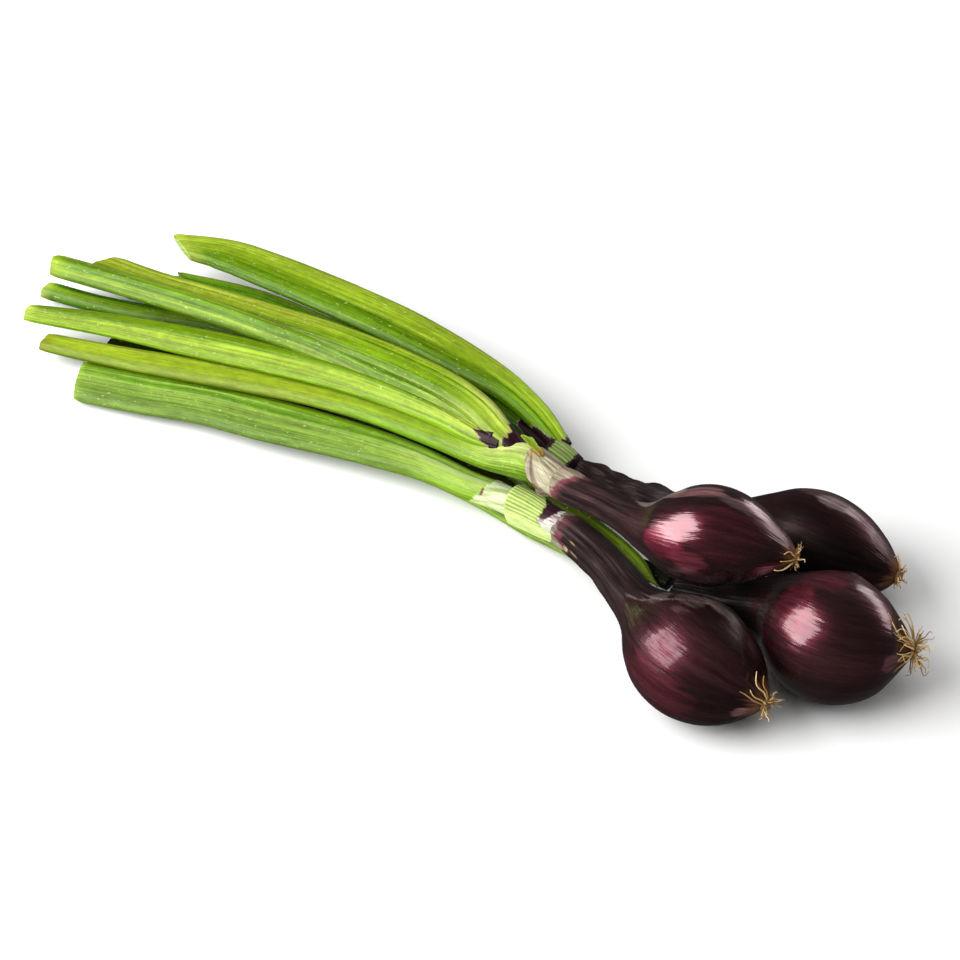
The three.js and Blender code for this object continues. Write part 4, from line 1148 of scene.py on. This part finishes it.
def build_roots(key):
    onion, look = ONIONS[key], ROOT_LOOKS[key]
    rng = np.random.RandomState(look["seed"])
    path = Path(onion["spine"])
    centre, tangent, side, rise = (a[0] for a in path.axes(np.array([0.0])))
    outward, side = -tangent, -side
    skin = Skin()

    def at(forward, out, turn, sway=0.0):
        across = out * math.cos(turn) - sway * math.sin(turn)
        above = out * math.sin(turn) + sway * math.cos(turn)
        return centre + outward * forward + side * across + rise * above

    plate = Path([at(0, 0, 0), at(0.9, 0, 0), at(1.7, 0, 0)])
    u = np.linspace(0, 1, PLATE_RINGS)[:, None]
    angle = (np.arange(PLATE_SIDES) * TURN / PLATE_SIDES)[None]
    dome = PLATE_RADIUS * np.sqrt(np.clip(1 - (u * 0.97) ** 3, 0, 1)) * (1 + 0.08 * np.sin(7 * angle))
    placed = plate.place(u * plate.length, dome * np.cos(angle), dome * np.sin(angle))
    skin.add(placed, rgb("7a5a34") + 0 * placed, 0.2, grain_of(angle, u * 2))
    for k in range(look["strands"]):
        turn = TURN * (k + 0.6 * rng.rand()) / look["strands"]
        lean = math.radians(look["spread"] * (0.25 + 0.75 * rng.rand()))
        reach = look["length"] * (0.5 + 0.5 * rng.rand())
        curl = reach * (rng.rand() - 0.5) * look["curl"]
        points = []
        for share, sway in STRAND_SWAY.items():
            bend = lean + 0.35 * share * (rng.rand() - 0.3)
            ahead, out = (reach * share * part for part in (math.cos(bend), math.sin(bend)))
            points.append(at(0.6 + ahead, 1.6 + out, turn, curl * sway))
        strand(skin, points, 0.2 + 0.12 * rng.rand(), 0.08, k % 4)
    for k, (degrees, reach, lift) in enumerate(look["laid"]):
        turn, bow = math.radians(degrees), 0.5 * (rng.rand() - 0.5)
        points = [at(0.8, 1.4, turn)]
        for step in range(1, LAID_STEPS + 1):
            share = step / LAID_STEPS
            clear = profile_radius(onion["profile"], np.array([reach * share]))[0] + 0.35
            arch = lift * math.sin(math.pi * (0.15 + 0.6 * share))
            points.append(at(-reach * share, clear + arch, turn + bow * math.sin(3.4 * share)))
        strand(skin, points, 0.27, 0.12, (k + 1) % 3)
    skin.build(f"{key}_onion_root_tuft", ROOT, "root", f"{key}_onion_roots")


for onion_name in ONIONS:
    build_bulb(onion_name)
build_front_collar()
build_papery_sheath()
build_back_sheath()
for leaf_seed, leaf_name in enumerate(LEAVES, FIRST_LEAF_SEED):
    build_leaf(leaf_name, leaf_seed)
for onion_name in ONIONS:
    build_roots(onion_name)

# ---- Floor, light and camera ----


HALF_FLOOR = 3.0
AIM = np.array([0.06, 0.0, 0.03])
LAMP_DISTANCE = 0.95
# Each lamp: where it stands, where it points, its size, its watts, and whether gloss shows it.
LAMPS = {
    "key": (AIM + LAMP_DISTANCE * np.array([-0.62, -0.5, 0.6]), AIM, (0.85, 0.85), 17, True),
    "back_panel": ((0.62, 1.0, 0.22), (0.08, 0.0, 0.03), (0.95, 0.38), 4.2, True),
    "side_panel": (AIM + LAMP_DISTANCE * np.array([-0.86, -0.5, 0.18]), AIM, (0.9, 0.45), 1.6, True),
    "overhead": ((0.1, -0.15, 1.7), (0.0, 0.0, 0.0), (1.6, 1.6), 14, False),
}
WORLD_STRENGTH = 0.05
CAMERA_TILT = math.radians(47)
CAMERA_TURN = math.radians(27)
CAMERA_DISTANCE = 0.8
CAMERA_LENS = 100
CAMERA_SENSOR = 36
LOOK_AT = np.array([0.0136, -0.0064, 0.02])


def aim(thing, towards):
    back = -np.array(towards, float)
    back /= np.linalg.norm(back)
    side = np.cross([0, 0, 1], back)
    side /= np.linalg.norm(side)
    up = np.cross(back, side)
    thing.matrix_world = Matrix(
        [[side[i], up[i], back[i], thing.location[i]] for i in range(3)] + [[0, 0, 0, 1]]
    )


def add_lamp(name, place, target, size, power, in_gloss):
    data = bpy.data.lights.new(name, "AREA")
    data.shape = "RECTANGLE"
    data.size, data.size_y = size
    data.energy = power
    lamp = bpy.data.objects.new(name, data)
    lamp.visible_glossy = in_gloss
    lamp.location = place
    bpy.context.scene.collection.objects.link(lamp)
    aim(lamp, np.array(target) - np.array(place))


corners = [(x * HALF_FLOOR, y * HALF_FLOOR, 0) for x, y in ((-1, -1), (1, -1), (1, 1), (-1, 1))]
floor_mesh = bpy.data.meshes.new("studio_floor")
floor_mesh.from_pydata(corners, [], [(0, 1, 2, 3)])
floor_mesh.materials.append(studio_floor())
floor = bpy.data.objects.new("studio_floor", floor_mesh)
bpy.context.scene.collection.objects.link(floor)
floor.visible_glossy = False

for lamp_name, settings in LAMPS.items():
    add_lamp(lamp_name, *settings)

bpy.context.scene.view_settings.view_transform = "Standard"

world = bpy.data.worlds.new("studio")
world.use_nodes = True
world.node_tree.nodes["Background"].inputs["Color"].default_value = (1, 1, 1, 1)
world.node_tree.nodes["Background"].inputs["Strength"].default_value = WORLD_STRENGTH
bpy.context.scene.world = world

level = math.cos(CAMERA_TILT)
outwards = np.array(
    [math.sin(CAMERA_TURN) * level, -math.cos(CAMERA_TURN) * level, math.sin(CAMERA_TILT)]
)
camera_data = bpy.data.cameras.new("camera")
camera_data.lens = CAMERA_LENS
camera_data.sensor_width = CAMERA_SENSOR
camera = bpy.data.objects.new("camera", camera_data)
camera.location = LOOK_AT + CAMERA_DISTANCE * outwards
bpy.context.scene.collection.objects.link(camera)
aim(camera, -outwards)
bpy.context.scene.camera = camera
